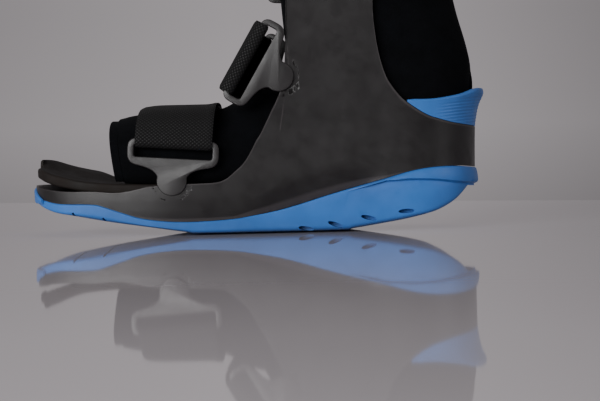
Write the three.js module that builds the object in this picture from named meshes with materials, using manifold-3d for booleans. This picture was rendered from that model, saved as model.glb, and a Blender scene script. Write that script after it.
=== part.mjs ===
// Medical walking boot: a short walker brace with a rocker sole, three strap levels and an open toe.
// Millimetres. The toe points to -X, the heel to +X, the floor is Z 0, and the boot is alike on both sides.

import * as THREE from 'three';
import { mergeVertices } from 'three/addons/utils/BufferGeometryUtils.js';
import Module from 'manifold-3d';

const wasm = await Module();
wasm.setup();

// Driving sizes of the shell and the sole

const shellLength = 301;
const forefootWidth = 112;
const heelWidth = 88;
const soleHeight = 43;
const rimHeight = 96;
const collarHeight = 94;
const uprightTop = 235;
const uprightCorner = 12;
const uprightSpread = 8;
const soleTuck = 6;
const shellWall = 4;
const toeLip = 2;
const tierProud = 2.6;
const gap = 0.3;

// Driving sizes of the soft pieces

const insoleThickness = 7;
const insoleInset = 1.5;
const insoleTipLift = 12;
const linerPadding = 6;
const linerFloor = 4;
const linerGap = 0.8;
const linerTop = 255;
const instepHeight = 97;
const bindingLength = 5.4;
const bindingInset = 1.2;
const toeLean = 0.14;

// Driving sizes of the heel tab

const tabHeight = 95;
const tabWall = 3;
const tabFlare = 5;
const tabInnerFlare = 2.8;

// Driving sizes of the straps and their rings

const strapWidth = 50;
const strapThickness = 4;
const ringThickness = 3;
const ringEar = 4.2;
const ringBar = 4;
const slotHeight = 8;
const slotClearance = 0.5;
const pivotToSlot = 16;
const tabRadius = 9.8;
const shoulderHeight = 11.5;
const pocketClearance = 2.4;
const pocketDepth = 2.2;
const lobeThickness = 2;
const instepCrown = 6;
const calfCrown = 3;
const postRadius = 3.4;

// Driving sizes of the cuts in the sole

const slitWidth = 1.5;
const slitLength = 7;
const notchLength = 12;
const notchHeight = 3.6;
const notchDepth = 7;

// Colours and finishes

const charcoal = { color: 0x262324, roughness: 0.5, metalness: 0 };
const blue = { color: 0x356eb9, roughness: 0.55, metalness: 0 };
const black = { color: 0x08090c, roughness: 0.95, metalness: 0 };
const webbing = { color: 0x0b0b0d, roughness: 0.8, metalness: 0 };
const foam = { color: 0x14100c, roughness: 0.9, metalness: 0 };

// Outline of the shell from above, as half widths: x is a share of the shell's length from the toe,
// fore a share of half the forefoot width and heel a share of half the heel width, which add up

const planRows = [
  { x: 0, fore: 0, heel: 0 },
  { x: 0.007, fore: 0.36, heel: 0 },
  { x: 0.037, fore: 0.68, heel: 0 },
  { x: 0.106, fore: 0.88, heel: 0 },
  { x: 0.206, fore: 0.97, heel: 0 },
  { x: 0.319, fore: 1, heel: 0 },
  { x: 0.455, fore: 0.65, heel: 0.37 },
  { x: 0.605, fore: 0.3, heel: 0.71 },
  { x: 0.754, fore: 0.08, heel: 0.92 },
  { x: 0.87, fore: 0, heel: 0.96 },
  { x: 0.937, fore: 0, heel: 0.77 },
  { x: 0.98, fore: 0, heel: 0.42 },
  { x: 1, fore: 0, heel: 0 },
];

// Lean of the walls with height: z is a share of the uprights' height, out a share of the spread at
// their top and tuck a share of how far the sole is drawn in

const leanRows = [
  { z: -0.02, out: 0, tuck: 1.1 },
  { z: 0.02, out: 0, tuck: 0.8 },
  { z: 0.06, out: 0, tuck: 0.4 },
  { z: 0.11, out: 0, tuck: 0.1 },
  { z: 0.17, out: 0, tuck: 0 },
  { z: 0.3, out: 0.05, tuck: 0 },
  { z: 0.47, out: 0.4, tuck: 0 },
  { z: 0.72, out: 0.75, tuck: 0 },
  { z: 1.02, out: 1, tuck: 0 },
];

// Flare of the heel tab: z is a share of the tab's height, outer and inner are shares of the two flares

const flareRows = [
  { z: 0.6, outer: 0, inner: 0 },
  { z: 0.73, outer: 0, inner: 0 },
  { z: 0.85, outer: 0.27, inner: 0.4 },
  { z: 0.905, outer: 0.52, inner: 0.62 },
  { z: 0.94, outer: 0.86, inner: 0.76 },
  { z: 0.97, outer: 1, inner: 0.88 },
  { z: 1.01, outer: 0.72, inner: 1 },
];

// Underside of the sole: x a share of the shell's length, z a share of the sole's height at the heel

const undersideRows = [
  { x: 0.01, z: 0.49 },
  { x: 0.037, z: 0.41 },
  { x: 0.07, z: 0.337 },
  { x: 0.12, z: 0.27 },
  { x: 0.186, z: 0.193 },
  { x: 0.25, z: 0.13 },
  { x: 0.31, z: 0.068 },
  { x: 0.355, z: 0.022 },
  { x: 0.385, z: 0 },
  { x: 0.68, z: 0 },
  { x: 0.72, z: 0.03 },
  { x: 0.78, z: 0.095 },
  { x: 0.85, z: 0.18 },
  { x: 0.9, z: 0.265 },
  { x: 0.945, z: 0.42 },
  { x: 0.975, z: 0.6 },
  { x: 0.985, z: 0.69 },
];

const flatStart = undersideRows.findIndex((row) => row.z === 0);

// Line where the shell meets the sole, in the same shares

const seamRows = [
  { x: 0, z: 0.605 },
  { x: 0.033, z: 0.56 },
  { x: 0.07, z: 0.512 },
  { x: 0.146, z: 0.5 },
  { x: 0.173, z: 0.456 },
  { x: 0.209, z: 0.372 },
  { x: 0.252, z: 0.279 },
  { x: 0.306, z: 0.226 },
  { x: 0.37, z: 0.212 },
  { x: 0.452, z: 0.242 },
  { x: 0.5, z: 0.291 },
  { x: 0.55, z: 0.356 },
  { x: 0.6, z: 0.449 },
  { x: 0.65, z: 0.556 },
  { x: 0.7, z: 0.656 },
  { x: 0.784, z: 0.814 },
  { x: 0.847, z: 0.945 },
  { x: 0.9, z: 1 },
  { x: 0.953, z: 1 },
  { x: 1, z: 0.965 },
];

// Lower edge of the raised heel tier, in the same shares

const tierRows = [
  { x: 0.7, z: 0.64 },
  { x: 0.76, z: 0.757 },
  { x: 0.82, z: 0.79 },
  { x: 0.86, z: 0.79 },
  { x: 0.9, z: 0.776 },
  { x: 0.945, z: 0.738 },
  { x: 1.02, z: 0.686 },
];

// How far the tier stands out with height, z and out being shares of the sole's height and of tierProud

const tierLevels = [
  { z: 0.5, out: 0 },
  { z: 0.69, out: 0.4 },
  { z: 0.76, out: 0.85 },
  { z: 0.83, out: 1 },
  { z: 0.9, out: 0.75 },
  { z: 0.97, out: 0.2 },
  { z: 1.02, out: 0 },
];

// Floor of the shell under the insole, in the sole's shares

const floorRows = [
  { x: -0.02, z: 0.64 },
  { x: 0.1, z: 0.65 },
  { x: 0.2, z: 0.635 },
  { x: 0.31, z: 0.625 },
  { x: 0.5, z: 0.635 },
  { x: 0.6, z: 0.68 },
  { x: 0.7, z: 0.79 },
  { x: 0.8, z: 0.96 },
  { x: 0.87, z: 1.05 },
  { x: 1.02, z: 1.07 },
];

// Lift of the insole off that floor at its toe end, a share of insoleTipLift

const insoleLiftRows = [
  { x: 0.008, lift: 0.92 },
  { x: 0.03, lift: 0.68 },
  { x: 0.06, lift: 0.42 },
  { x: 0.1, lift: 0.19 },
  { x: 0.15, lift: 0.06 },
  { x: 0.2, lift: 0 },
  { x: 0.31, lift: 0 },
];

// Rim of the foot tray from the toe to the upright: z a share of the rim's height there

const rimRows = [
  { x: -0.02, z: 0.36 },
  { x: 0.01, z: 0.352 },
  { x: 0.04, z: 0.327 },
  { x: 0.09, z: 0.313 },
  { x: 0.146, z: 0.312 },
  { x: 0.19, z: 0.302 },
  { x: 0.22, z: 0.307 },
  { x: 0.252, z: 0.327 },
  { x: 0.28, z: 0.343 },
  { x: 0.36, z: 0.354 },
  { x: 0.415, z: 0.36 },
  { x: 0.44, z: 0.385 },
  { x: 0.46, z: 0.437 },
  { x: 0.478, z: 0.49 },
  { x: 0.493, z: 0.563 },
  { x: 0.505, z: 0.635 },
  { x: 0.516, z: 0.69 },
  { x: 0.532, z: 0.79 },
  { x: 0.542, z: 0.855 },
  { x: 0.555, z: 0.94 },
  { x: 0.578, z: 1.12 },
];

// Front edge of the upright above the rim, then its back edge down to the collar

const uprightFront = { x: 0.576, z: 0.55 };
const uprightBack = { x: 0.761, z: 0.62 };

const collarRows = [
  { x: 0.763, z: 1.46 },
  { x: 0.769, z: 1.32 },
  { x: 0.778, z: 1.19 },
  { x: 0.79, z: 1.08 },
  { x: 0.806, z: 1 },
  { x: 0.83, z: 0.915 },
  { x: 0.874, z: 0.82 },
  { x: 0.91, z: 0.78 },
  { x: 0.947, z: 0.753 },
  { x: 1, z: 0.734 },
  { x: 1.04, z: 0.73 },
];

// Top edge of the heel tab: z a share of the tab's height

const tabTopRows = [
  { x: 0.833, z: 0.915 },
  { x: 0.857, z: 0.908 },
  { x: 0.888, z: 0.91 },
  { x: 0.92, z: 0.925 },
  { x: 0.95, z: 0.948 },
  { x: 0.98, z: 0.985 },
  { x: 1.01, z: 1 },
  { x: 1.04, z: 1.002 },
];

// Foot part of the liner: top a share of the instep's height, wide a share of the room inside the shell

const linerFootRows = [
  { x: 0.208, top: 0.805, wide: 0.94 },
  { x: 0.226, top: 0.824, wide: 0.965 },
  { x: 0.25, top: 0.835, wide: 0.985 },
  { x: 0.29, top: 0.852, wide: 1 },
  { x: 0.41, top: 0.854, wide: 1 },
  { x: 0.44, top: 0.885, wide: 1 },
  { x: 0.475, top: 0.955, wide: 1 },
  { x: 0.505, top: 0.992, wide: 1 },
  { x: 0.55, top: 1, wide: 1 },
  { x: 0.68, top: 0.93, wide: 1 },
];

// Leg part of the liner: z a share of the liner's height, front and back shares of the shell's length

const linerLegRows = [
  { z: 0.13, front: 0.6, back: 0.985 },
  { z: 0.24, front: 0.59, back: 0.985 },
  { z: 0.3, front: 0.582, back: 0.987 },
  { z: 0.345, front: 0.576, back: 0.993 },
  { z: 0.375, front: 0.572, back: 1 },
  { z: 0.41, front: 0.574, back: 0.995 },
  { z: 0.45, front: 0.576, back: 0.989 },
  { z: 0.505, front: 0.571, back: 0.978 },
  { z: 0.56, front: 0.566, back: 0.963 },
  { z: 0.62, front: 0.562, back: 0.951 },
  { z: 0.72, front: 0.556, back: 0.937 },
  { z: 0.86, front: 0.55, back: 0.93 },
  { z: 1, front: 0.546, back: 0.933 },
];

// Strap levels: the ring's post at x and z, shares of the shell's length and of the uprights' height, seat
// the place along the shell whose wall the ring lies on, turn in degrees, and crown how far the strap
// stands out past the rings at the middle, where it doesn't lie on the liner

const strapRows = [
  { name: 'forefoot', x: 0.322, z: 0.149, seat: 0.322, turn: 4, crown: 0, onLiner: true },
  { name: 'instep', x: 0.56, z: 0.435, seat: 0.545, turn: -60, crown: instepCrown, onLiner: false },
  { name: 'calf', x: 0.624, z: 0.812, seat: 0.57, turn: -87, crown: calfCrown, onLiner: false },
];

// Half of the strap's way over the boot: y a share of the rings' half distance, rise of the crown

const strapPath = [
  { y: 1, rise: 0 },
  { y: 0.985, rise: 0.3 },
  { y: 0.94, rise: 0.52 },
  { y: 0.83, rise: 0.74 },
  { y: 0.64, rise: 0.89 },
  { y: 0.35, rise: 0.98 },
];

// Flex slits across the toe of the sole, in shares of the shell's length and the sole's height

const slitRows = [
  { x: 0.108, z: 0.35, turn: 33 },
  { x: 0.176, z: 0.27, turn: 37 },
];

// Tread notches in the sole's lower sides

const notchRows = [
  { x: 0.616, z: 0.08, turn: 10 },
  { x: 0.68, z: 0.14, turn: 17 },
  { x: 0.752, z: 0.22, turn: 16 },
  { x: 0.837, z: 0.31, turn: 13 },
];

// Shape shares: the bulge of a notch, and the powers that square the liner's rings

const notchBelly = 0.7;
const upperSquare = 0.86;
const lowerSquare = 0.5;
const legSquare = 0.84;

// Where the insole's curled end spreads over the shell's rim, a share of the sole's height
const curlLevel = 0.83;
const curlEnd = 0.04;

// Place across the leg that sets its width, and the level of the shell that sets the foot's
const legMiddle = 0.64;
const footLevel = 1.2;
const footMiddle = 0.4;
const leanEnd = 0.45;

// Sampling

const planStepsPerRow = 2;
const floorStepsPerRow = 3;
const strapStations = [-0.5, -0.3, 0, 0.5];
const strapSteps = 22;
const cornerSteps = 4;
const footSides = 28;
const legSides = 32;
const sideSpan = 200;

const toeX = -shellLength / 2;

function along(share) {
  return toeX + share * shellLength;
}

// Value of a column of a table at a place between its rows

function lookUp(rows, key, column, value) {
  if (value <= rows[0][key]) {
    return rows[0][column];
  }
  for (let i = 1; i < rows.length; i += 1) {
    const low = rows[i - 1];
    const high = rows[i];
    if (value <= high[key]) {
      const share = (value - low[key]) / (high[key] - low[key]);
      return THREE.MathUtils.lerp(low[column], high[column], share);
    }
  }
  return rows[rows.length - 1][column];
}

function leanAt(z) {
  const share = z / uprightTop;
  const out = lookUp(leanRows, 'z', 'out', share) * uprightSpread;
  const tuck = lookUp(leanRows, 'z', 'tuck', share) * soleTuck;
  return out - tuck;
}

function outerFlare(z) {
  return lookUp(flareRows, 'z', 'outer', z / tabHeight) * tabFlare;
}

function innerFlare(z) {
  return lookUp(flareRows, 'z', 'inner', z / tabHeight) * tabInnerFlare;
}

// Near half of the plan outline, moved outwards by an offset, with its heel end drawn back by a flare

function halfPlan(offset, flare = 0) {
  const rows = planRows.map((row) => {
    const half = (row.fore * forefootWidth + row.heel * heelWidth) / 2;
    return new THREE.Vector2(along(row.x), half);
  });
  const curve = new THREE.SplineCurve(rows);
  const steps = planStepsPerRow * (rows.length - 1);
  const points = [];
  for (let i = 0; i <= steps; i += 1) {
    const point = curve.getPoint(i / steps);
    const tangent = curve.getTangent(i / steps);
    if (i === 0 || i === steps) {
      tangent.set(0, i === 0 ? 1 : -1);
    }
    point.x -= tangent.y * offset;
    point.y += tangent.x * offset;
    const heelShare = THREE.MathUtils.smoothstep(point.x, along(0.8), along(0.99));
    point.x += heelShare * flare;
    points.push(point);
  }
  points[0].y = 0;
  points[steps].y = 0;
  return points;
}

function halfWidthAt(x, offset, flare = 0) {
  const points = halfPlan(offset, flare);
  for (let i = 1; i < points.length; i += 1) {
    if (x <= points[i].x) {
      const share = (x - points[i - 1].x) / (points[i].x - points[i - 1].x);
      return Math.max(0, THREE.MathUtils.lerp(points[i - 1].y, points[i].y, share));
    }
  }
  return 0;
}

// Whole plan outline at one height

function planRing(offset, flare, z) {
  const half = halfPlan(offset, flare);
  const near = half.map((point) => new THREE.Vector3(point.x, -point.y, z));
  const far = half.slice(1, -1).reverse().map((point) => new THREE.Vector3(point.x, point.y, z));
  return [...near, ...far];
}

// Flat cover over a ring, facing the side from which the ring runs counterclockwise

function coverRing(ring, start) {
  const normal = new THREE.Vector3();
  ring.forEach((point, i) => {
    const next = ring[(i + 1) % ring.length];
    normal.add(new THREE.Vector3().crossVectors(point, next));
  });
  const size = normal.clone().set(Math.abs(normal.x), Math.abs(normal.y), Math.abs(normal.z));
  const upright = size.z >= size.x && size.z >= size.y;
  const contour = ring.map((point) => {
    return upright ? new THREE.Vector2(point.x, point.y) : new THREE.Vector2(point.y, point.z);
  });
  const turn = Math.sign(THREE.ShapeUtils.area(contour));
  const faces = THREE.ShapeUtils.triangulateShape(contour, []);
  return faces.flatMap((face) => {
    const same = Math.sign(THREE.ShapeUtils.area(face.map((i) => contour[i]))) === turn;
    return (same ? face : face.slice().reverse()).map((i) => start + i);
  });
}

// Closed body through rings of equal count, each ring counterclockwise when seen from the last one

function loft(rings) {
  const sides = rings[0].length;
  const index = [];
  for (let r = 0; r + 1 < rings.length; r += 1) {
    for (let i = 0; i < sides; i += 1) {
      const next = (i + 1) % sides;
      const a = r * sides + i;
      const b = r * sides + next;
      const c = (r + 1) * sides + next;
      const d = (r + 1) * sides + i;
      index.push(a, b, c, a, c, d);
    }
  }
  const lastStart = (rings.length - 1) * sides;
  index.push(...coverRing(rings[0], 0).reverse());
  index.push(...coverRing(rings[rings.length - 1], lastStart));
  const geometry = new THREE.BufferGeometry().setFromPoints(rings.flat());
  geometry.setIndex(index);
  return geometry;
}

// Solids for cutting and joining

function toSolid(geometry) {
  const bare = geometry.clone();
  bare.deleteAttribute('normal');
  bare.deleteAttribute('uv');
  const merged = mergeVertices(bare, 1e-4);
  return new wasm.Manifold(new wasm.Mesh({
    numProp: 3,
    vertProperties: new Float32Array(merged.attributes.position.array),
    triVerts: new Uint32Array(merged.index.array),
  }));
}

function toMesh(name, solid, finish) {
  const mesh = solid.getMesh();
  const geometry = new THREE.BufferGeometry();
  geometry.setAttribute('position', new THREE.BufferAttribute(mesh.vertProperties, 3));
  geometry.setIndex(new THREE.BufferAttribute(mesh.triVerts, 1));
  geometry.computeVertexNormals();
  const result = new THREE.Mesh(geometry, new THREE.MeshStandardMaterial(finish));
  result.name = name;
  return result;
}

// Side-view shape pushed across the whole width

function acrossBoot(shape, curveSegments = 1) {
  const geometry = new THREE.ExtrudeGeometry(shape, { depth: sideSpan, bevelEnabled: false, curveSegments });
  geometry.rotateX(Math.PI / 2);
  geometry.translate(0, sideSpan / 2, 0);
  return toSolid(geometry);
}

function rowPoints(rows, height, lift = 0) {
  return rows.map((row) => new THREE.Vector2(along(row.x), row.z * height + lift));
}

// Walls that follow the plan outline up through all heights

function planBody(offset, flareAt, levels) {
  return toSolid(loft(levels.map((z) => planRing(leanAt(z) + offset, flareAt(z), z))));
}

function noFlare() {
  return 0;
}

const leanLevels = leanRows.map((row) => row.z * uprightTop);

// Outsole: rocker sole, raised heel tier and the lip in front of the shell's toe

function makeOutsole() {
  const underside = rowPoints(undersideRows, soleHeight);
  const seam = rowPoints(seamRows, soleHeight);
  const profile = new THREE.Shape();
  profile.moveTo(toeX - toeLip, seam[0].y);
  profile.lineTo(underside[0].x - toeLip, underside[0].y);
  profile.splineThru(underside.slice(1, flatStart + 1));
  profile.lineTo(underside[flatStart + 1].x, 0);
  profile.splineThru(underside.slice(flatStart + 2));
  profile.lineTo(seam[seam.length - 1].x, tierRows[tierRows.length - 1].z * soleHeight);
  profile.lineTo(seam[seam.length - 1].x, seam[seam.length - 1].y);
  profile.splineThru(seam.slice(0, -1).reverse());
  const lowLevels = leanLevels.filter((z) => z < soleHeight * 2);
  let sole = planBody(0, noFlare, lowLevels).intersect(acrossBoot(profile));

  const tierProfile = new THREE.Shape();
  const tierLow = rowPoints(tierRows, soleHeight);
  const tierTop = seam.filter((point) => point.x >= tierLow[0].x);
  tierProfile.moveTo(tierLow[0].x, tierLow[0].y);
  tierProfile.splineThru(tierLow.slice(1));
  tierProfile.lineTo(tierLow[tierLow.length - 1].x, tierTop[tierTop.length - 1].y);
  tierProfile.lineTo(tierTop[tierTop.length - 1].x, tierTop[tierTop.length - 1].y);
  tierProfile.splineThru(tierTop.slice(0, -1).reverse());
  const tierRings = tierLevels.map((row) => {
    const z = row.z * soleHeight;
    return planRing(leanAt(z) + row.out * tierProud, 0, z);
  });
  sole = sole.add(toSolid(loft(tierRings)).intersect(acrossBoot(tierProfile)));

  const lipTop = rimRows[1].z * rimHeight;
  const lipBack = along(0.02);
  const lip = new THREE.Shape();
  lip.moveTo(toeX - toeLip * 2, undersideRows[0].z * soleHeight + toeLip);
  lip.lineTo(lipBack, undersideRows[0].z * soleHeight);
  lip.lineTo(lipBack, seam[0].y);
  lip.lineTo(toeX - toeLip / 4, lipTop);
  lip.lineTo(toeX - toeLip * 2, lipTop);
  const lipOuter = planBody(toeLip, noFlare, lowLevels);
  const lipInner = planBody(gap, noFlare, lowLevels).intersect(acrossBoot(aboveSeam(0)));
  sole = sole.add(lipOuter.subtract(lipInner).intersect(acrossBoot(lip)));

  for (const row of slitRows) {
    const cut = new THREE.BoxGeometry(slitWidth, sideSpan, slitLength);
    cut.rotateY(-THREE.MathUtils.degToRad(row.turn));
    cut.translate(along(row.x), 0, row.z * soleHeight - slitLength / 4);
    sole = sole.subtract(toSolid(cut));
  }
  for (const row of notchRows) {
    for (const side of [-1, 1]) {
      sole = sole.subtract(notchCutter(row, side));
    }
  }
  return toMesh('outsole', sole, blue);
}

// A slanted lozenge that goes into the sole from the side

function notchCutter(row, side) {
  const lozenge = new THREE.Shape();
  lozenge.moveTo(-notchLength / 2, -notchHeight / 4);
  lozenge.quadraticCurveTo(0, -notchHeight * notchBelly, notchLength / 2, notchHeight / 4);
  lozenge.quadraticCurveTo(0, notchHeight * notchBelly, -notchLength / 2, -notchHeight / 4);
  const options = { depth: sideSpan, bevelEnabled: false, curveSegments: 4 };
  const geometry = new THREE.ExtrudeGeometry(lozenge, options);
  geometry.rotateX(Math.PI / 2);
  geometry.rotateY(-THREE.MathUtils.degToRad(row.turn));
  const z = row.z * soleHeight;
  const floorY = halfWidthAt(along(row.x), leanAt(z)) - notchDepth;
  geometry.translate(along(row.x), side > 0 ? floorY + sideSpan : -floorY, z);
  return toSolid(geometry);
}

// Region above the seam between the shell and the sole

function aboveSeam(lift) {
  const seam = rowPoints(seamRows, soleHeight, lift);
  const region = new THREE.Shape();
  region.moveTo(toeX - shellLength, seam[0].y);
  region.lineTo(seam[0].x, seam[0].y);
  region.splineThru(seam.slice(1));
  region.lineTo(shellLength, seam[seam.length - 1].y);
  region.lineTo(shellLength, linerTop * 2);
  region.lineTo(toeX - shellLength, linerTop * 2);
  return region;
}

// Points of the shell's floor, the same ones for all that lies on it

function floorLine(lift) {
  const curve = new THREE.SplineCurve(rowPoints(floorRows, soleHeight, lift));
  return curve.getPoints(floorRows.length * floorStepsPerRow);
}

function aboveFloor(lift) {
  const floor = floorLine(lift);
  const region = new THREE.Shape(floor);
  region.lineTo(shellLength, floor[floor.length - 1].y);
  region.lineTo(shellLength, linerTop * 2);
  region.lineTo(toeX - shellLength, linerTop * 2);
  region.lineTo(toeX - shellLength, floor[0].y);
  return region;
}

// Side view of the shell: tray, uprights and heel counter

function shellProfile() {
  const seam = rowPoints(seamRows, soleHeight, gap);
  const rim = rowPoints(rimRows, rimHeight);
  const collar = rowPoints(collarRows, collarHeight);
  const frontX = along(uprightFront.x);
  const backX = along(uprightBack.x);
  const corners = [];
  for (let i = 0; i <= cornerSteps; i += 1) {
    const angle = (i / cornerSteps) * (Math.PI / 2);
    const run = uprightCorner * (1 - Math.cos(angle));
    const rise = uprightCorner * (1 - Math.sin(angle));
    corners.push({ run, rise });
  }
  const profile = new THREE.Shape();
  profile.moveTo(toeX - shellWall, seam[0].y);
  profile.lineTo(seam[0].x, seam[0].y);
  profile.splineThru(seam.slice(1));
  profile.lineTo(collar[collar.length - 1].x, seam[seam.length - 1].y);
  profile.lineTo(collar[collar.length - 1].x, collar[collar.length - 1].y);
  profile.splineThru(collar.slice(0, -1).reverse());
  profile.lineTo(backX, uprightBack.z * uprightTop);
  corners.forEach(({ run, rise }) => profile.lineTo(backX - run, uprightTop - rise));
  corners.reverse().forEach(({ run, rise }) => profile.lineTo(frontX + run, uprightTop - rise));
  profile.lineTo(frontX, uprightFront.z * uprightTop);
  profile.lineTo(rim[rim.length - 1].x, rim[rim.length - 1].y);
  profile.splineThru(rim.slice(0, -1).reverse());
  return profile;
}

// Outline of a strap ring about its post, grown by a clearance, with its bar towards +Y of the shape

const ringHalf = strapWidth / 2 + slotClearance + ringEar;
const ringTop = pivotToSlot + slotHeight + ringBar;
const barCentre = pivotToSlot + slotHeight + ringBar / 2;
const neckAngle = 12;
const armReach = 0.9;

function ringOutline(grow) {
  const half = ringHalf + grow;
  const top = ringTop + grow;
  const low = shoulderHeight - grow;
  const radius = tabRadius + grow;
  const corner = ringEar * 1.5;
  const neck = THREE.MathUtils.degToRad(neckAngle);
  const neckX = radius * Math.cos(neck);
  const neckY = radius * Math.sin(neck);
  const outline = new THREE.Shape();
  outline.moveTo(-half + corner, top);
  outline.quadraticCurveTo(-half, top, -half, top - corner);
  outline.lineTo(-half, low + corner);
  outline.quadraticCurveTo(-half, low, -half + corner, low - corner / 6);
  const armX = neckX + tabRadius * armReach;
  const armY = low - corner / 3;
  const bendX = neckX + corner / 3;
  const bendY = neckY + corner;
  outline.bezierCurveTo(-armX, armY, -bendX, bendY, -neckX, neckY);
  outline.absarc(0, 0, radius, Math.PI - neck, neck, false);
  outline.bezierCurveTo(bendX, bendY, armX, armY, half - corner, low - corner / 6);
  outline.quadraticCurveTo(half, low, half, low + corner);
  outline.lineTo(half, top - corner);
  outline.quadraticCurveTo(half, top, half - corner, top);
  return outline;
}

function slotPath() {
  const half = strapWidth / 2 + slotClearance;
  const slot = new THREE.Path();
  slot.moveTo(-half, pivotToSlot);
  slot.lineTo(half, pivotToSlot);
  slot.lineTo(half, pivotToSlot + slotHeight);
  slot.lineTo(-half, pivotToSlot + slotHeight);
  slot.closePath();
  return slot;
}

function postX(row) {
  return along(row.x);
}

function postZ(row) {
  return row.z * uprightTop;
}

// Distance from the middle of the boot to the floor of the ring's pocket

function pocketFloor(row) {
  return halfWidthAt(along(row.seat), leanAt(postZ(row))) - pocketDepth;
}

// A plate drawn about the post, standing out from a distance on one side of the boot

function sidePlate(shape, side, from, depth, curveSegments) {
  const geometry = new THREE.ExtrudeGeometry(shape, { depth, bevelEnabled: false, curveSegments });
  geometry.rotateX(Math.PI / 2);
  geometry.translate(0, side > 0 ? from + depth : -from, 0);
  return geometry;
}

function sidePin(radius, side, from, depth, segments = 16) {
  const geometry = new THREE.CylinderGeometry(radius, radius, depth, segments);
  geometry.translate(0, side * (from + depth / 2), 0);
  return geometry;
}

function onShell(geometry, row) {
  const placed = geometry.clone();
  placed.rotateY(THREE.MathUtils.degToRad(row.turn));
  placed.translate(postX(row), 0, postZ(row));
  return toSolid(placed);
}

// Shell: hollow tray with the ring pockets, the lobes that carry the posts and the post holes

function makeShell() {
  const outer = planBody(0, noFlare, leanLevels).intersect(acrossBoot(shellProfile()));
  const inner = planBody(-shellWall, noFlare, leanLevels).intersect(acrossBoot(aboveFloor(0)));
  let shell = outer.subtract(inner);
  for (const row of strapRows) {
    const floor = pocketFloor(row);
    for (const side of [-1, 1]) {
      const pocket = sidePlate(ringOutline(pocketClearance), side, floor, shellWall * 4, 4);
      const lobe = sidePin(tabRadius - 1, side, floor - lobeThickness, lobeThickness);
      const hole = sidePin(postRadius + gap, side, floor - shellWall * 2, shellWall * 3);
      shell = shell.subtract(onShell(pocket, row));
      shell = shell.add(onShell(lobe, row));
      shell = shell.subtract(onShell(hole, row));
    }
  }
  return toMesh('shell', shell, charcoal);
}

// Heel tab: flared collar that stands on the shell's heel

function makeHeelTab() {
  const levels = flareRows.map((row) => row.z * tabHeight);
  const outer = planBody(0, outerFlare, levels);
  const inner = planBody(-tabWall, innerFlare, levels);
  const collar = rowPoints(collarRows, collarHeight, gap);
  const top = rowPoints(tabTopRows, tabHeight);
  const underTop = new THREE.Shape();
  underTop.moveTo(top[0].x, 0);
  underTop.lineTo(top[top.length - 1].x, 0);
  underTop.lineTo(top[top.length - 1].x, top[top.length - 1].y);
  underTop.splineThru(top.slice(0, -1).reverse());
  const overCollar = new THREE.Shape();
  overCollar.moveTo(collar[0].x, collar[0].y);
  overCollar.splineThru(collar.slice(1));
  overCollar.lineTo(collar[collar.length - 1].x, tabHeight * 2);
  overCollar.lineTo(collar[0].x, tabHeight * 2);
  const tab = outer.subtract(inner).intersect(acrossBoot(underTop)).intersect(acrossBoot(overCollar));
  return toMesh('heel_tab', tab, blue);
}

// Insole: foam sheet on the shell's floor, whose toe end lifts

function insoleLift(x) {
  return lookUp(insoleLiftRows, 'x', 'lift', (x - toeX) / shellLength) * insoleTipLift;
}

function makeInsole() {
  const bottom = floorLine(gap).map((point) => new THREE.Vector2(point.x, point.y + insoleLift(point.x)));
  const top = bottom.map((point) => new THREE.Vector2(point.x, point.y + insoleThickness)).reverse();
  const profile = new THREE.Shape([...bottom, ...top]);
  const levels = leanLevels.filter((z) => z < soleHeight * 2);
  const plan = planBody(-shellWall - insoleInset, noFlare, levels);
  const toePlan = planBody(-insoleInset, noFlare, levels);
  const overRim = new THREE.Shape();
  overRim.moveTo(toeX - shellWall, soleHeight * curlLevel);
  overRim.lineTo(along(curlEnd), soleHeight * curlLevel);
  overRim.lineTo(along(curlEnd), soleHeight * 2);
  overRim.lineTo(toeX - shellWall, soleHeight * 2);
  const foot = plan.add(toePlan.intersect(acrossBoot(overRim)));
  return toMesh('insole', foot.intersect(acrossBoot(profile)), foam);
}

// Liner: padded boot with an open toe and an open top

function roomAt(x, z) {
  return halfWidthAt(x, leanAt(z) - shellWall - linerGap, innerFlare(z));
}

function insoleTopAt(x) {
  const share = (x - toeX) / shellLength;
  return lookUp(floorRows, 'x', 'z', share) * soleHeight + insoleThickness + gap * 2;
}

function footRing(x, inset) {
  const share = (x - toeX) / shellLength;
  const top = lookUp(linerFootRows, 'x', 'top', share) * instepHeight - inset;
  const bottom = insoleTopAt(x) - insoleThickness / 2;
  const middle = THREE.MathUtils.lerp(bottom, top, footMiddle);
  const wide = lookUp(linerFootRows, 'x', 'wide', share);
  const half = roomAt(x, soleHeight * footLevel) * wide - inset;
  const lean = toeLean * (1 - THREE.MathUtils.smoothstep(share, linerFootRows[0].x, leanEnd));
  const points = [];
  for (let i = 0; i < footSides; i += 1) {
    const angle = (i / footSides) * Math.PI * 2;
    const cos = Math.cos(angle);
    const sin = Math.sin(angle);
    const power = sin > 0 ? upperSquare : lowerSquare;
    const y = half * Math.sign(cos) * Math.abs(cos) ** power;
    const reach = sin > 0 ? top - middle : middle - bottom;
    const z = middle + reach * Math.sign(sin) * Math.abs(sin) ** power;
    points.push(new THREE.Vector3(x - lean * (z - middle), y, z));
  }
  return points;
}

function footTube(from, to, inset) {
  const between = linerFootRows.map((row) => along(row.x)).filter((x) => x > from + 1 && x < to);
  const places = [from, ...between, to];
  return toSolid(loft(places.map((x) => footRing(x, inset))));
}

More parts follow.
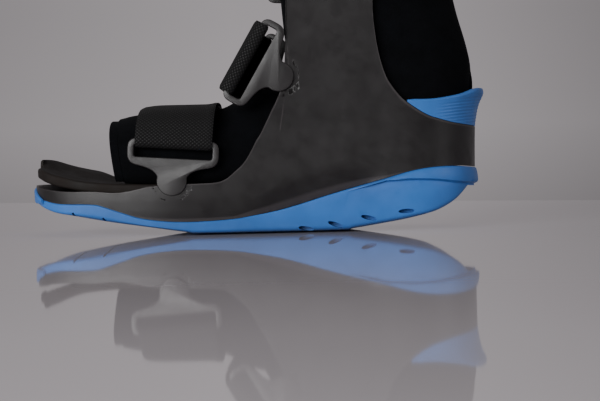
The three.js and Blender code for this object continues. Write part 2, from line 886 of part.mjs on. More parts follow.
function legRing(share, inset) {
  const z = share * linerTop;
  const front = along(lookUp(linerLegRows, 'z', 'front', share)) + inset;
  const back = along(lookUp(linerLegRows, 'z', 'back', share)) - inset;
  const centre = (front + back) / 2;
  const half = (back - front) / 2;
  const wide = roomAt(along(legMiddle), z);
  const points = [];
  for (let i = 0; i < legSides; i += 1) {
    const angle = (i / legSides) * Math.PI * 2;
    const x = centre + half * Math.sign(Math.cos(angle)) * Math.abs(Math.cos(angle)) ** legSquare;
    const y = wide * Math.abs(Math.sin(angle)) ** legSquare;
    const clear = Math.max(0, Math.min(y, roomAt(x, z)) - inset);
    points.push(new THREE.Vector3(x, Math.sign(Math.sin(angle)) * clear, z));
  }
  return points;
}

function legTube(inset, topShare) {
  const shares = linerLegRows.map((row) => row.z);
  shares[shares.length - 1] = topShare;
  return toSolid(loft(shares.map((share) => legRing(share, inset))));
}

const linerFront = along(linerFootRows[0].x);
const footTubeEnd = along(0.68);

function makeLiner() {
  const body = footTube(linerFront, footTubeEnd, 0).add(legTube(0, 1));
  const foot = footTube(linerFront - linerPadding, footTubeEnd, linerPadding);
  const leg = legTube(linerPadding, 1.02);
  const hollow = foot.add(leg).intersect(acrossBoot(aboveFloor(insoleThickness + gap * 2 + linerFloor)));
  const seated = body.intersect(acrossBoot(aboveFloor(insoleThickness + gap * 2)));
  return toMesh('liner', seated.subtract(hollow), black);
}

// Toe binding: the inner layer that shows in front of the liner's wrap

function makeToeBinding() {
  const end = linerFront - gap;
  const start = end - bindingLength;
  const outer = footTube(start, end, bindingInset);
  const inner = footTube(start - 1, end + 1, linerPadding);
  const floorLift = insoleThickness + gap * 2;
  const lifted = insoleLift(start - toeLean * soleHeight);
  const ring = outer.intersect(acrossBoot(aboveFloor(floorLift + lifted)));
  const hollow = inner.intersect(acrossBoot(aboveFloor(floorLift + linerFloor)));
  return toMesh('toe_binding', ring.subtract(hollow), black);
}

// Ring: flat loop with a slot for the strap, a round tab and a post that sits in the shell

function makeRing(row, side) {
  const back = pocketFloor(row) + gap;
  const shape = ringOutline(0);
  shape.holes.push(slotPath());
  const plate = toSolid(sidePlate(shape, side, back, ringThickness, 5));
  const post = toSolid(sidePin(postRadius, side, back - lobeThickness, lobeThickness + ringThickness / 2));
  const name = `ring_${row.name}_${side < 0 ? 'near' : 'far'}`;
  return toMesh(name, plate.add(post), charcoal);
}

// Strap: two layers of webbing over the boot, looped round the bars of both rings

function strapSection(row, u, crown) {
  const reach = pocketFloor(row) + gap + ringThickness / 2;
  const half = strapPath.map((point) => new THREE.Vector2(point.y * reach, barCentre + point.rise * crown));
  const mirrored = half.slice().reverse().map((point) => new THREE.Vector2(-point.x, point.y));
  const middle = new THREE.Vector2(0, barCentre + crown);
  const curve = new THREE.SplineCurve([...half, middle, ...mirrored]);
  const outer = [];
  const inner = [];
  for (let i = 0; i <= strapSteps; i += 1) {
    const point = curve.getPoint(i / strapSteps);
    const tangent = curve.getTangent(i / strapSteps);
    const normal = new THREE.Vector2(tangent.y, -tangent.x);
    const thick = strapThickness / 2;
    outer.push(new THREE.Vector3(u, point.x + normal.x * thick, point.y + normal.y * thick));
    inner.push(new THREE.Vector3(u, point.x - normal.x * thick, point.y - normal.y * thick));
  }
  return [...outer, ...inner.reverse()];
}

// Height of the strap's middle line over the rings' bars, a distance u behind the middle of the strap

function crownAt(row, u) {
  if (!row.onLiner) {
    return row.crown;
  }
  const turn = THREE.MathUtils.degToRad(row.turn);
  const x = postX(row) + u + toeLean * soleHeight;
  const seat = lookUp(linerFootRows, 'x', 'top', (x - toeX) / shellLength) * instepHeight;
  const barZ = postZ(row) + barCentre * Math.cos(turn) - u * Math.sin(turn);
  return seat + gap * 2 + strapThickness / 2 - barZ;
}

function makeStrap(row) {
  const shares = row.onLiner ? strapStations : [-0.5, 0.5];
  const stations = shares.map((share) => share * strapWidth);
  let strap = toSolid(loft(stations.map((u) => strapSection(row, u, crownAt(row, u)))));
  const reach = pocketFloor(row) + gap + ringThickness / 2;
  const layer = strapThickness / 2;
  for (const side of [-1, 1]) {
    const loopHalf = ringThickness / 2 + gap + layer;
    const fold = new THREE.CylinderGeometry(1, 1, strapWidth, 16);
    fold.rotateZ(Math.PI / 2);
    fold.scale(1, loopHalf, ringBar / 2 + gap + layer);
    fold.translate(0, side * reach, barCentre);
    strap = strap.add(toSolid(fold));
  }
  for (const side of [-1, 1]) {
    const bar = new THREE.BoxGeometry(strapWidth * 2, ringThickness + gap * 2, ringBar + gap * 2);
    bar.translate(0, side * reach, barCentre);
    strap = strap.subtract(toSolid(bar));
  }
  return toMesh(`strap_${row.name}`, strap, webbing);
}

// The whole boot

const boot = new THREE.Group();
boot.name = 'walking_boot';
boot.add(makeOutsole());
boot.add(makeShell());
boot.add(makeHeelTab());
boot.add(makeInsole());
boot.add(makeLiner());
boot.add(makeToeBinding());
for (const row of strapRows) {
  const level = new THREE.Group();
  level.position.set(postX(row), 0, postZ(row));
  level.rotation.y = THREE.MathUtils.degToRad(row.turn);
  level.add(makeRing(row, -1));
  level.add(makeRing(row, 1));
  level.add(makeStrap(row));
  boot.add(level);
}

// The origin is the middle of the boot's box, on the floor

boot.updateMatrixWorld(true);
const box = new THREE.Box3().setFromObject(boot);
boot.position.set(-(box.min.x + box.max.x) / 2, -(box.min.y + box.max.y) / 2, -box.min.z);

export default boot;
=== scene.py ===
# The looks of the medical walking boot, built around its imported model.
# Lengths are written in millimetres, as on the model, and become metres when a mesh is made.

import math

import bmesh
import bpy
import numpy as np
from mathutils import Matrix, Vector


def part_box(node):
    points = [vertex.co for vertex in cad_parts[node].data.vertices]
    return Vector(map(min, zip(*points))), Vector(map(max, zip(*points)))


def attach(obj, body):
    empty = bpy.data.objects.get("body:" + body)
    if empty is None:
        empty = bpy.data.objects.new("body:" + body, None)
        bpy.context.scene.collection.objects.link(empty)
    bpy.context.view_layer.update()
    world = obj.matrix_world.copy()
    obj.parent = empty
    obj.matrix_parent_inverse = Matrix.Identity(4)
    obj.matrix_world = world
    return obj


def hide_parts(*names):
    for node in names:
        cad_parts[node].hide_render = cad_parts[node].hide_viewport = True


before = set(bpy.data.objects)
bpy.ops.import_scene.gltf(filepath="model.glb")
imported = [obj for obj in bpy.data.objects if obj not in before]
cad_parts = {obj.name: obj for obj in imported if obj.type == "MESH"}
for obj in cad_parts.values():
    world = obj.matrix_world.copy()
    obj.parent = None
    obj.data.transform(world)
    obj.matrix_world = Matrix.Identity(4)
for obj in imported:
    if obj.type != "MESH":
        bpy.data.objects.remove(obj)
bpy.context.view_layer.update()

MM = 0.001

# Sizes shared with the model

SHELL_LENGTH = 301.0
FOREFOOT_WIDTH = 112.0
HEEL_WIDTH = 88.0
SOLE_HEIGHT = 43.0
RIM_HEIGHT = 96.0
COLLAR_HEIGHT = 94.0
UPRIGHT_TOP = 235.0
UPRIGHT_CORNER = 12.0
UPRIGHT_SPREAD = 8.0
SOLE_TUCK = 6.0
SHELL_WALL = 4.0
TOE_LIP = 2.0
TIER_PROUD = 2.6
GAP = 0.3
INSOLE_THICKNESS = 7.0
INSOLE_INSET = 1.5
INSOLE_TIP_LIFT = 12.0
LINER_PADDING = 6.0
LINER_FLOOR = 4.0
LINER_GAP = 0.8
LINER_TOP = 255.0
INSTEP_HEIGHT = 97.0
BINDING_LENGTH = 5.4
BINDING_INSET = 1.2
TOE_LEAN = 0.14
TAB_HEIGHT = 95.0
TAB_WALL = 3.0
TAB_FLARE = 5.0
TAB_INNER_FLARE = 2.8
STRAP_WIDTH = 50.0
STRAP_THICKNESS = 4.0
RING_THICKNESS = 3.0
RING_EAR = 4.2
RING_BAR = 4.0
SLOT_HEIGHT = 8.0
SLOT_CLEARANCE = 0.5
PIVOT_TO_SLOT = 16.0
TAB_RADIUS = 9.8
SHOULDER_HEIGHT = 11.5
POCKET_CLEARANCE = 2.43
POCKET_DEPTH = 2.2
FAR_OUT = 150

# The model's tables: x a share of the shell's length from the toe, the rest as on the model

PLAN = [
    # x, share of the forefoot's half width, share of the heel's half width
    (0, 0, 0), (0.007, 0.36, 0), (0.037, 0.68, 0), (0.106, 0.88, 0), (0.206, 0.97, 0),
    (0.319, 1, 0), (0.455, 0.65, 0.37), (0.605, 0.3, 0.71), (0.754, 0.08, 0.92),
    (0.87, 0, 0.96), (0.937, 0, 0.77), (0.98, 0, 0.42), (1, 0, 0),
]
LEAN = [
    # height over the uprights' height, share of the spread, share of the sole's tuck
    (-0.02, 0, 1.1), (0.02, 0, 0.8), (0.06, 0, 0.4), (0.11, 0, 0.1), (0.17, 0, 0),
    (0.3, 0.05, 0), (0.47, 0.4, 0), (0.72, 0.75, 0), (1.02, 1, 0),
]
FLARE = [
    # height over the tab's height, share of the outer flare, share of the inner flare
    (0.6, 0, 0), (0.73, 0, 0), (0.85, 0.27, 0.4), (0.905, 0.52, 0.62),
    (0.94, 0.86, 0.76), (0.97, 1, 0.88), (1.01, 0.72, 1),
]
UNDERSIDE = [
    # x, height over the sole's height
    (0.01, 0.49), (0.037, 0.41), (0.07, 0.337), (0.12, 0.27), (0.186, 0.193), (0.25, 0.13),
    (0.31, 0.068), (0.355, 0.022), (0.385, 0), (0.68, 0), (0.72, 0.03), (0.78, 0.095),
    (0.85, 0.18), (0.9, 0.265), (0.945, 0.42), (0.975, 0.6), (0.985, 0.69),
]
SEAM = [
    # x, height over the sole's height
    (0, 0.605), (0.033, 0.56), (0.07, 0.512), (0.146, 0.5), (0.173, 0.456), (0.209, 0.372),
    (0.252, 0.279), (0.306, 0.226), (0.37, 0.212), (0.452, 0.242), (0.5, 0.291),
    (0.55, 0.356), (0.6, 0.449), (0.65, 0.556), (0.7, 0.656), (0.784, 0.814),
    (0.847, 0.932), (0.9, 0.982), (0.953, 0.984), (1, 0.955),
]
TIER = [
    # x, height over the sole's height
    (0.7, 0.64), (0.76, 0.757), (0.82, 0.79), (0.86, 0.79), (0.9, 0.776),
    (0.945, 0.738), (1.02, 0.686),
]
FLOOR = [
    # x, height over the sole's height
    (-0.02, 0.64), (0.1, 0.65), (0.2, 0.635), (0.31, 0.625), (0.5, 0.635), (0.6, 0.68),
    (0.7, 0.79), (0.8, 0.96), (0.87, 1.05), (1.02, 1.07),
]
INSOLE_LIFT = [
    # x, share of the tip's lift
    (0.008, 0.92), (0.03, 0.68), (0.06, 0.42), (0.1, 0.19), (0.15, 0.06), (0.2, 0), (0.31, 0),
]
RIM = [
    # x, height over the rim's height
    (-0.02, 0.36), (0.01, 0.352), (0.04, 0.327), (0.09, 0.313), (0.146, 0.312), (0.19, 0.302),
    (0.22, 0.307), (0.252, 0.327), (0.28, 0.343), (0.36, 0.354), (0.415, 0.36), (0.44, 0.385),
    (0.46, 0.437), (0.478, 0.49), (0.493, 0.563), (0.505, 0.635), (0.516, 0.69),
    (0.532, 0.79), (0.542, 0.855), (0.555, 0.94), (0.578, 1.12),
]
COLLAR = [
    # x, height over the collar's height
    (0.763, 1.46), (0.769, 1.32), (0.778, 1.19), (0.79, 1.08), (0.806, 1), (0.83, 0.915),
    (0.874, 0.82), (0.91, 0.78), (0.947, 0.753), (1, 0.734), (1.04, 0.73),
]
TAB_TOP = [
    # x, height over the tab's height
    (0.833, 0.909), (0.857, 0.902), (0.888, 0.904), (0.92, 0.919), (0.95, 0.942),
    (0.98, 0.979), (1.01, 0.994), (1.04, 0.996),
]
LINER_FOOT = [
    # x, top over the instep's height, share of the room inside the shell
    (0.208, 0.805, 0.94), (0.226, 0.824, 0.965), (0.25, 0.835, 0.985), (0.29, 0.852, 1),
    (0.41, 0.854, 1), (0.44, 0.885, 1), (0.475, 0.955, 1), (0.505, 0.992, 1),
    (0.55, 1, 1), (0.68, 0.93, 1),
]
LINER_LEG = [
    # height over the liner's height, front x, back x
    (0.13, 0.6, 0.985), (0.24, 0.59, 0.985), (0.3, 0.582, 0.987), (0.345, 0.576, 0.993),
    (0.375, 0.572, 1), (0.41, 0.574, 0.995), (0.45, 0.576, 0.989), (0.505, 0.571, 0.978),
    (0.56, 0.566, 0.963), (0.62, 0.562, 0.951), (0.72, 0.556, 0.937), (0.86, 0.55, 0.93),
    (1, 0.546, 0.933),
]
UPRIGHT_FRONT = (0.576, 0.55)
UPRIGHT_BACK = (0.761, 0.62)
STRAPS = {
    # post x, post height over the uprights' height, seat x, turn in degrees, crown over the rings
    "forefoot": (0.322, 0.149, 0.322, 4.0, None),
    "instep": (0.56, 0.435, 0.545, -60.0, 6.0),
    "calf": (0.624, 0.812, 0.57, -87.0, 3.0),
}
STRAP_PATH = [
    # share of the half distance between the rings, share of the crown
    (1, 0), (0.985, 0.3), (0.94, 0.52), (0.83, 0.74), (0.64, 0.89), (0.35, 0.98),
]

TOE_X = -SHELL_LENGTH / 2
shell_low, shell_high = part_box("shell")
SHIFT = (shell_low.x + shell_high.x) / 2 / MM


def along(share):
    return TOE_X + share * SHELL_LENGTH


# Curves and tables

def spline(points, per_segment):
    """Points of a smooth curve through the given ones, as on the model."""
    points = np.asarray(points, float)
    result = []
    last = len(points) - 1
    for i in range(last):
        before = points[max(i - 1, 0)]
        start = points[i]
        end = points[i + 1]
        after = points[min(i + 2, last)]
        v0 = (end - before) / 2
        v1 = (after - start) / 2
        for step in range(per_segment):
            t = step / per_segment
            cubic = (2 * start - 2 * end + v0 + v1) * t ** 3
            square = (-3 * start + 3 * end - 2 * v0 - v1) * t ** 2
            result.append(cubic + square + v0 * t + start)
    result.append(points[-1])
    return np.array(result)


def line_of(rows, height):
    """A table's line in the side view as dense x and z, with x rising."""
    dense = spline([(along(x), z * height) for x, z in rows], 12)
    return np.maximum.accumulate(dense[:, 0]), dense[:, 1]


seam_line = line_of(SEAM, SOLE_HEIGHT)
under_line = line_of(UNDERSIDE, SOLE_HEIGHT)
tier_line = line_of(TIER, SOLE_HEIGHT)
floor_line = line_of(FLOOR, SOLE_HEIGHT)
tab_line = line_of(TAB_TOP, TAB_HEIGHT)


def at(line, x):
    return float(np.interp(x, line[0], line[1]))


def column(rows, index, value):
    return float(np.interp(value, [row[0] for row in rows], [row[index] for row in rows]))


def smooth_column(rows, index, value, reach):
    """A table's value, averaged over a reach so that no kink shows."""
    places = np.linspace(value - reach, value + reach, 9)
    return float(np.mean(np.interp(places, [row[0] for row in rows], [row[index] for row in rows])))


def smoothstep(value, low, high):
    t = min(max((value - low) / (high - low), 0.0), 1.0)
    return t * t * (3 - 2 * t)


def smooth_lean(z):
    share = z / UPRIGHT_TOP
    out = smooth_column(LEAN, 1, share, 0.05) * UPRIGHT_SPREAD
    tuck = smooth_column(LEAN, 2, share, 0.015) * SOLE_TUCK
    return out - tuck


lean_levels = np.linspace(-10, LINER_TOP * 1.1, 1200)
lean_values = np.array([smooth_lean(z) for z in lean_levels])


def lean_at(z):
    return float(np.interp(z, lean_levels, lean_values))


# Plan outline: its dense points and their outward normals

plan_points = spline(
    [(along(x), (fore * FOREFOOT_WIDTH + heel * HEEL_WIDTH) / 2) for x, fore, heel in PLAN], 24
)
tangents = np.gradient(plan_points, axis=0)
tangents /= np.linalg.norm(tangents, axis=1)[:, None]
tangents[0] = (0, 1)
tangents[-1] = (0, -1)
plan_normals = np.stack([-tangents[:, 1], tangents[:, 0]], axis=1)
plan_x = np.maximum.accumulate(plan_points[:, 0] + np.arange(len(plan_points)) * 1e-6)
plan_p = np.linspace(0, 1, len(plan_points))


def p_of(x):
    return float(np.interp(x, plan_x, plan_p))


LEAST_HALF_WIDTH = 0.1


def plan_at(p, offset, flare=0.0):
    """x and half width at a place p along the outline, moved outwards by an offset."""
    base = [np.interp(p, plan_p, plan_points[:, k]) for k in (0, 1)]
    normal = [np.interp(p, plan_p, plan_normals[:, k]) for k in (0, 1)]
    x = base[0] + normal[0] * offset
    y = base[1] + normal[1] * offset
    x += flare * smoothstep(x, along(0.8), along(0.99))
    if p <= 0 or p >= 1:
        return float(x), 0.0
    return float(x), float(max(y, LEAST_HALF_WIDTH))


def half_width(x, offset):
    moved = plan_points + plan_normals * offset
    xs = np.maximum.accumulate(moved[:, 0])
    if x <= xs[0] or x >= xs[-1]:
        return 0.0
    return float(np.interp(x, xs, np.maximum(moved[:, 1], 0)))


# Making meshes

def make_object(name, points, faces):
    """A mesh object from points in the model's millimetres, with doubled points joined."""
    mesh = bpy.data.meshes.new(name)
    placed = [((x + SHIFT) * MM, y * MM, z * MM) for x, y, z in points]
    mesh.from_pydata(placed, [], faces)
    obj = bpy.data.objects.new(name, mesh)
    bpy.context.scene.collection.objects.link(obj)
    bm = bmesh.new()
    bm.from_mesh(mesh)
    bmesh.ops.remove_doubles(bm, verts=bm.verts, dist=0.02 * MM)
    bmesh.ops.dissolve_degenerate(bm, edges=bm.edges, dist=0.005 * MM)
    bmesh.ops.recalc_face_normals(bm, faces=bm.faces)
    bm.to_mesh(mesh)
    bm.free()
    mesh.polygons.foreach_set("use_smooth", [True] * len(mesh.polygons))
    return obj


def quad_grid(rows, columns, wrap_columns=False, wrap_rows=False, start=0):
    faces = []
    for r in range(rows if wrap_rows else rows - 1):
        for c in range(columns if wrap_columns else columns - 1):
            r2 = (r + 1) % rows
            c2 = (c + 1) % columns
            faces.append((start + r * columns + c, start + r * columns + c2,
                          start + r2 * columns + c2, start + r2 * columns + c))
    return faces


def tube_object(name, rings, closed_ends=True):
    """A body through rings of equal count, with flat covers on its ends."""
    sides = len(rings[0])
    points = [point for ring in rings for point in ring]
    faces = quad_grid(len(rings), sides, wrap_columns=True)
    if closed_ends:
        faces.append(tuple(range(sides)))
        faces.append(tuple(range(len(points) - sides, len(points))))
    return make_object(name, points, faces)


def apply_modifiers(obj):
    bpy.context.view_layer.update()
    depsgraph = bpy.context.evaluated_depsgraph_get()
    mesh = bpy.data.meshes.new_from_object(obj.evaluated_get(depsgraph))
    obj.modifiers.clear()
    obj.data = mesh
    return obj


def drop(obj):
    bpy.data.objects.remove(obj, do_unlink=True)


def cut(obj, cutter, operation="DIFFERENCE", solver="EXACT"):
    boolean = obj.modifiers.new("cut", "BOOLEAN")
    boolean.operation = operation
    boolean.object = cutter
    boolean.solver = solver
    apply_modifiers(obj)
    drop(cutter)


def bevel(obj, width, segments=2, angle=40):
    modifier = obj.modifiers.new("edge", "BEVEL")
    modifier.width = width * MM
    modifier.segments = segments
    modifier.limit_method = "ANGLE"
    modifier.angle_limit = math.radians(angle)
    modifier.harden_normals = False
    modifier.miter_outer = "MITER_ARC"
    apply_modifiers(obj)


def shade(obj, angle=35):
    """Smooth shading that keeps the edges sharper than the angle."""
    mesh = obj.data
    mesh.polygons.foreach_set("use_smooth", [True] * len(mesh.polygons))
    mesh.set_sharp_from_angle(angle=math.radians(angle))


def finish_piece(obj, material, slot, *nodes):
    obj.data.materials.clear()
    obj.data.materials.append(material)
    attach(obj, "root")
    if nodes:
        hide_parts(*nodes)


# Materials

class Nodes:
    """A small helper that adds nodes to a tree and links them."""

    def __init__(self, tree):
        self.tree = tree

    def add(self, kind, inputs=None, **settings):
        node = self.tree.nodes.new(kind)
        for key, value in settings.items():
            setattr(node, key, value)
        for key, value in (inputs or {}).items():
            if isinstance(value, bpy.types.NodeSocket):
                self.tree.links.new(value, node.inputs[key])
            else:
                node.inputs[key].default_value = value
        return node

    def ramp(self, fac, stops):
        node = self.add("ShaderNodeValToRGB", {"Fac": fac})
        elements = node.color_ramp.elements
        while len(elements) < len(stops):
            elements.new(0.5)
        for element, (position, colour) in zip(elements, stops):
            element.position = position
            element.color = (*colour, 1)
        return node.outputs["Color"]

    def math(self, operation, a, b=0.0):
        return self.add("ShaderNodeMath", {0: a, 1: b}, operation=operation).outputs["Value"]

    def span(self, fac, low, high, to_low, to_high):
        return self.add("ShaderNodeMapRange", {
            "Value": fac, "From Min": low, "From Max": high, "To Min": to_low, "To Max": to_high,
        }).outputs["Result"]


class Finish(Nodes):
    """A material with its shader."""

    def __init__(self, name):
        self.material = bpy.data.materials.new(name)
        self.material.use_nodes = True
        super().__init__(self.material.node_tree)
        self.shader = self.tree.nodes["Principled BSDF"]

    def place(self):
        return self.add("ShaderNodeTexCoord").outputs["Object"]

    def noise(self, scale, detail=3.0, rough=0.5, stretch=(1, 1, 1)):
        mapping = self.add("ShaderNodeMapping", {"Vector": self.place(), "Scale": stretch})
        return self.add("ShaderNodeTexNoise", {
            "Vector": mapping.outputs["Vector"], "Scale": scale, "Detail": detail, "Roughness": rough,
        }).outputs["Fac"]

    def bump(self, height, strength, distance, normal=None):
        inputs = {"Height": height, "Strength": strength, "Distance": distance}
        if normal is not None:
            inputs["Normal"] = normal
        return self.add("ShaderNodeBump", inputs).outputs["Normal"]

    def link(self, output, socket):
        self.tree.links.new(output, self.shader.inputs[socket])


def shade_of(colour, factor):
    return tuple(min(channel * factor, 1.0) for channel in colour)


def moulded_plastic():
    """Charcoal satin plastic: fine grain, faint mottling of gloss and tone, and a painted highlight that
    lightens its sharp edges.
    """
    m = Finish("shell_plastic")
    base = (0.0090, 0.0078, 0.0082)
    tone = m.noise(38.0, 4.0, 0.6)
    # Painted highlight: pointiness lifts the base colour to 3.6 times along sharp edges and rims, in place of
    # light catching them
    edge = m.add("ShaderNodeNewGeometry").outputs["Pointiness"]
    painted_edge_highlight = m.span(edge, 0.515, 0.58, 0.0, 1.0)
    mixed = m.add("ShaderNodeMix", {0: painted_edge_highlight}, data_type="RGBA")
    mottled = m.ramp(tone, [(0.3, shade_of(base, 0.82)), (0.7, shade_of(base, 1.2))])
    m.tree.links.new(mottled, mixed.inputs[6])
    mixed.inputs[7].default_value = (*shade_of(base, 3.6), 1)
    m.link(mixed.outputs[2], "Base Color")
    m.link(m.span(m.noise(90.0, 3.0, 0.55), 0.3, 0.7, 0.36, 0.5), "Roughness")
    grain = m.noise(2300.0, 2.0, 0.5)
    wave = m.noise(26.0, 2.0, 0.5)
    m.link(m.bump(grain, 0.22, 0.00012, m.bump(wave, 0.25, 0.0009)), "Normal")
    m.shader.inputs["Specular IOR Level"].default_value = 0.5
    return m.material


def sole_rubber():
    """Blue satin rubber with soft mottling, a painted shade that darkens its foot near the floor, and a fine
    moulded grain.
    """
    m = Finish("sole_rubber")
    base = (0.0325, 0.153, 0.482)
    tone = m.noise(30.0, 4.0, 0.6)
    # Painted shade: over the lowest 12 mm the colour darkens towards a deeper blue, in place of the shade
    # near the floor contact
    height = m.add("ShaderNodeSeparateXYZ", {"Vector": m.place()}).outputs["Z"]
    low = m.span(height, 0.0, 0.012, 1.0, 0.0)
    mixed = m.add("ShaderNodeMix", {0: m.math("MULTIPLY", low, 0.45)}, data_type="RGBA")
    mottled = m.ramp(tone, [(0.28, shade_of(base, 0.86)), (0.74, shade_of(base, 1.12))])
    m.tree.links.new(mottled, mixed.inputs[6])
    mixed.inputs[7].default_value = (0.022, 0.085, 0.25, 1)
    m.link(mixed.outputs[2], "Base Color")
    m.link(m.span(m.noise(120.0, 3.0, 0.6), 0.3, 0.7, 0.38, 0.55), "Roughness")
    grain = m.noise(1500.0, 2.0, 0.5)
    m.link(m.bump(grain, 0.18, 0.00012, m.bump(m.noise(34.0, 2.0), 0.2, 0.0008)), "Normal")
    return m.material


def insole_foam():
    """Dark brown closed-cell foam: small pores and a slightly compressed, glossier skin."""
    m = Finish("insole_foam")
    base = (0.0072, 0.0050, 0.0040)
    pores = m.add("ShaderNodeTexVoronoi", {"Vector": m.place(), "Scale": 900.0}).outputs["Distance"]
    tone = m.noise(60.0, 5.0, 0.65)
    m.link(m.ramp(tone, [(0.3, shade_of(base, 0.7)), (0.75, shade_of(base, 1.7))]), "Base Color")
    m.link(m.span(tone, 0.3, 0.7, 0.62, 0.85), "Roughness")
    m.link(m.bump(pores, 0.35, 0.0003, m.bump(m.noise(55.0, 3.0), 0.35, 0.0012)), "Normal")
    m.shader.inputs["Specular IOR Level"].default_value = 0.25
    return m.material


def liner_fabric():
    """Black brushed loop cloth: short pile, soft light-catching fuzz, faint broad mottling."""
    m = Finish("liner_fabric")
    base = (0.0019, 0.0021, 0.0028)
    tone = m.noise(70.0, 5.0, 0.65)
    pile = m.noise(1500.0, 3.0, 0.7, (1.0, 1.0, 0.55))
    m.link(m.ramp(tone, [(0.3, shade_of(base, 0.7)), (0.75, shade_of(base, 1.5))]), "Base Color")
    m.link(m.span(pile, 0.3, 0.7, 0.8, 1.0), "Roughness")
    m.shader.inputs["Sheen Weight"].default_value = 0.008
    m.shader.inputs["Sheen Roughness"].default_value = 0.6
    m.shader.inputs["Sheen Tint"].default_value = (0.55, 0.58, 0.66, 1)
    m.shader.inputs["Specular IOR Level"].default_value = 0.06
    m.link(m.bump(pile, 0.6, 0.0005, m.bump(m.noise(42.0, 4.0), 0.4, 0.0015)), "Normal")
    return m.material


WARP_PITCH = 2.7
WEFT_PITCH = 2.2


def strap_webbing():
    """Black webbing: ribs along the strap crossed by weft rows, with small bright floats of yarn."""
    m = Finish("strap_webbing")
    uv = m.add("ShaderNodeUVMap", uv_map="weave").outputs["UV"]
    parts = m.add("ShaderNodeSeparateXYZ", {"Vector": uv})
    warp = m.math("SINE", m.math("MULTIPLY", parts.outputs["X"], 2 * math.pi / WARP_PITCH))
    weft = m.math("SINE", m.math("MULTIPLY", parts.outputs["Y"], 2 * math.pi / WEFT_PITCH))
    cross = m.math("MULTIPLY", warp, weft)
    high = m.span(cross, -1.0, 1.0, 0.0, 1.0)
    fine = m.noise(2600.0, 2.0, 0.6)
    base = (0.0030, 0.0029, 0.0031)
    m.link(m.ramp(high, [(0.2, shade_of(base, 0.5)), (0.9, shade_of(base, 1.9))]), "Base Color")
    m.link(m.span(high, 0.45, 1.0, 0.95, 0.36), "Roughness")
    m.link(m.bump(high, 0.85, 0.0005, m.bump(fine, 0.3, 0.0002)), "Normal")
    m.shader.inputs["Specular IOR Level"].default_value = 0.3
    return m.material


plastic = moulded_plastic()
rubber = sole_rubber()
foam = insole_foam()
fabric = liner_fabric()
webbing = strap_webbing()


# Outsole: rocker sole, raised heel tier, rounded lower edge, toe lip, slits and notches

CORNER = 5.0
CROWN_RISE = 1.7
CROWN_WIDTH = 26.0
SIDE_ROWS = 16
TIER_START = 0.70
TIER_FULL = 0.76
SLIT_WIDTH = 1.3
SLIT_LENGTH = 7.0
SLITS = [
    # x, height over the sole's height, turn in degrees
    (0.108, 0.35, 33), (0.176, 0.27, 37),
]
NOTCH_LENGTH = 10.6
NOTCH_HEIGHT = 2.9
NOTCH_DEPTH = 7.0
NOTCHES = [
    # x, height over the sole's height, turn in degrees
    (0.611, 0.07, -10), (0.675, 0.124, -20), (0.748, 0.218, -14), (0.831, 0.31, 2),
]


def sole_levels(p, x):
    """Heights and outward bulge of the sole's side at one place, from the seam down to the edge."""
    top = at(seam_line, x)
    low = at(under_line, x)
    corner = min(CORNER, (top - low) * 0.42)
    share = (x - TOE_X) / SHELL_LENGTH
    tier_share = smoothstep(share, TIER_START, TIER_FULL)
    groove = at(tier_line, x)
    rows = []
    if tier_share > 0:
        groove = min(groove, top - 1.5)
        drop_to = [top, top - 0.6]
        marks = np.linspace(top - 1.5, groove + 0.9, 5)
        drop_to.extend(marks)
        drop_to.extend([groove + 0.35, groove + 0.05, groove - 0.5])
        drop_to.extend(np.linspace(groove - 1.6, low + corner, SIDE_ROWS - 10))
    else:
        drop_to = [top, top - 0.6, *np.linspace(top - 1.5, low + corner, SIDE_ROWS - 2)]
    for z in drop_to:
        outward = lean_at(z)
        if tier_share > 0 and z > groove:
            rise = (z - groove) / max(top - groove, 1.0)
            belly = TIER_PROUD * tier_share * (1 - 0.75 * rise ** 2.2) * smoothstep(rise, -0.03, 0.12)
            outward += belly
        elif tier_share > 0:
            outward -= 0.5 * tier_share * math.exp(-((groove - z) / 1.2) ** 2)
        outward -= 0.7 * smoothstep(z, top - 0.7, top + 0.05)
        rows.append((z, outward))
    rise = CROWN_RISE * smoothstep(share, 0.02, 0.12) * (1 - smoothstep(share, 0.85, 0.97))
    for step in range(1, 6):
        angle = math.radians(step * 18)
        z = low + rise + (corner - rise) * (1 - math.sin(angle))
        rows.append((z, lean_at(low + corner) - corner * (1 - math.cos(angle))))
    return rows, low, rise


def stations(first, last, count):
    """Places along the outline, closer together towards its ends."""
    return [first + (last - first) * (0.5 - 0.5 * math.cos(math.pi * i / (count - 1))) for i in range(count)]


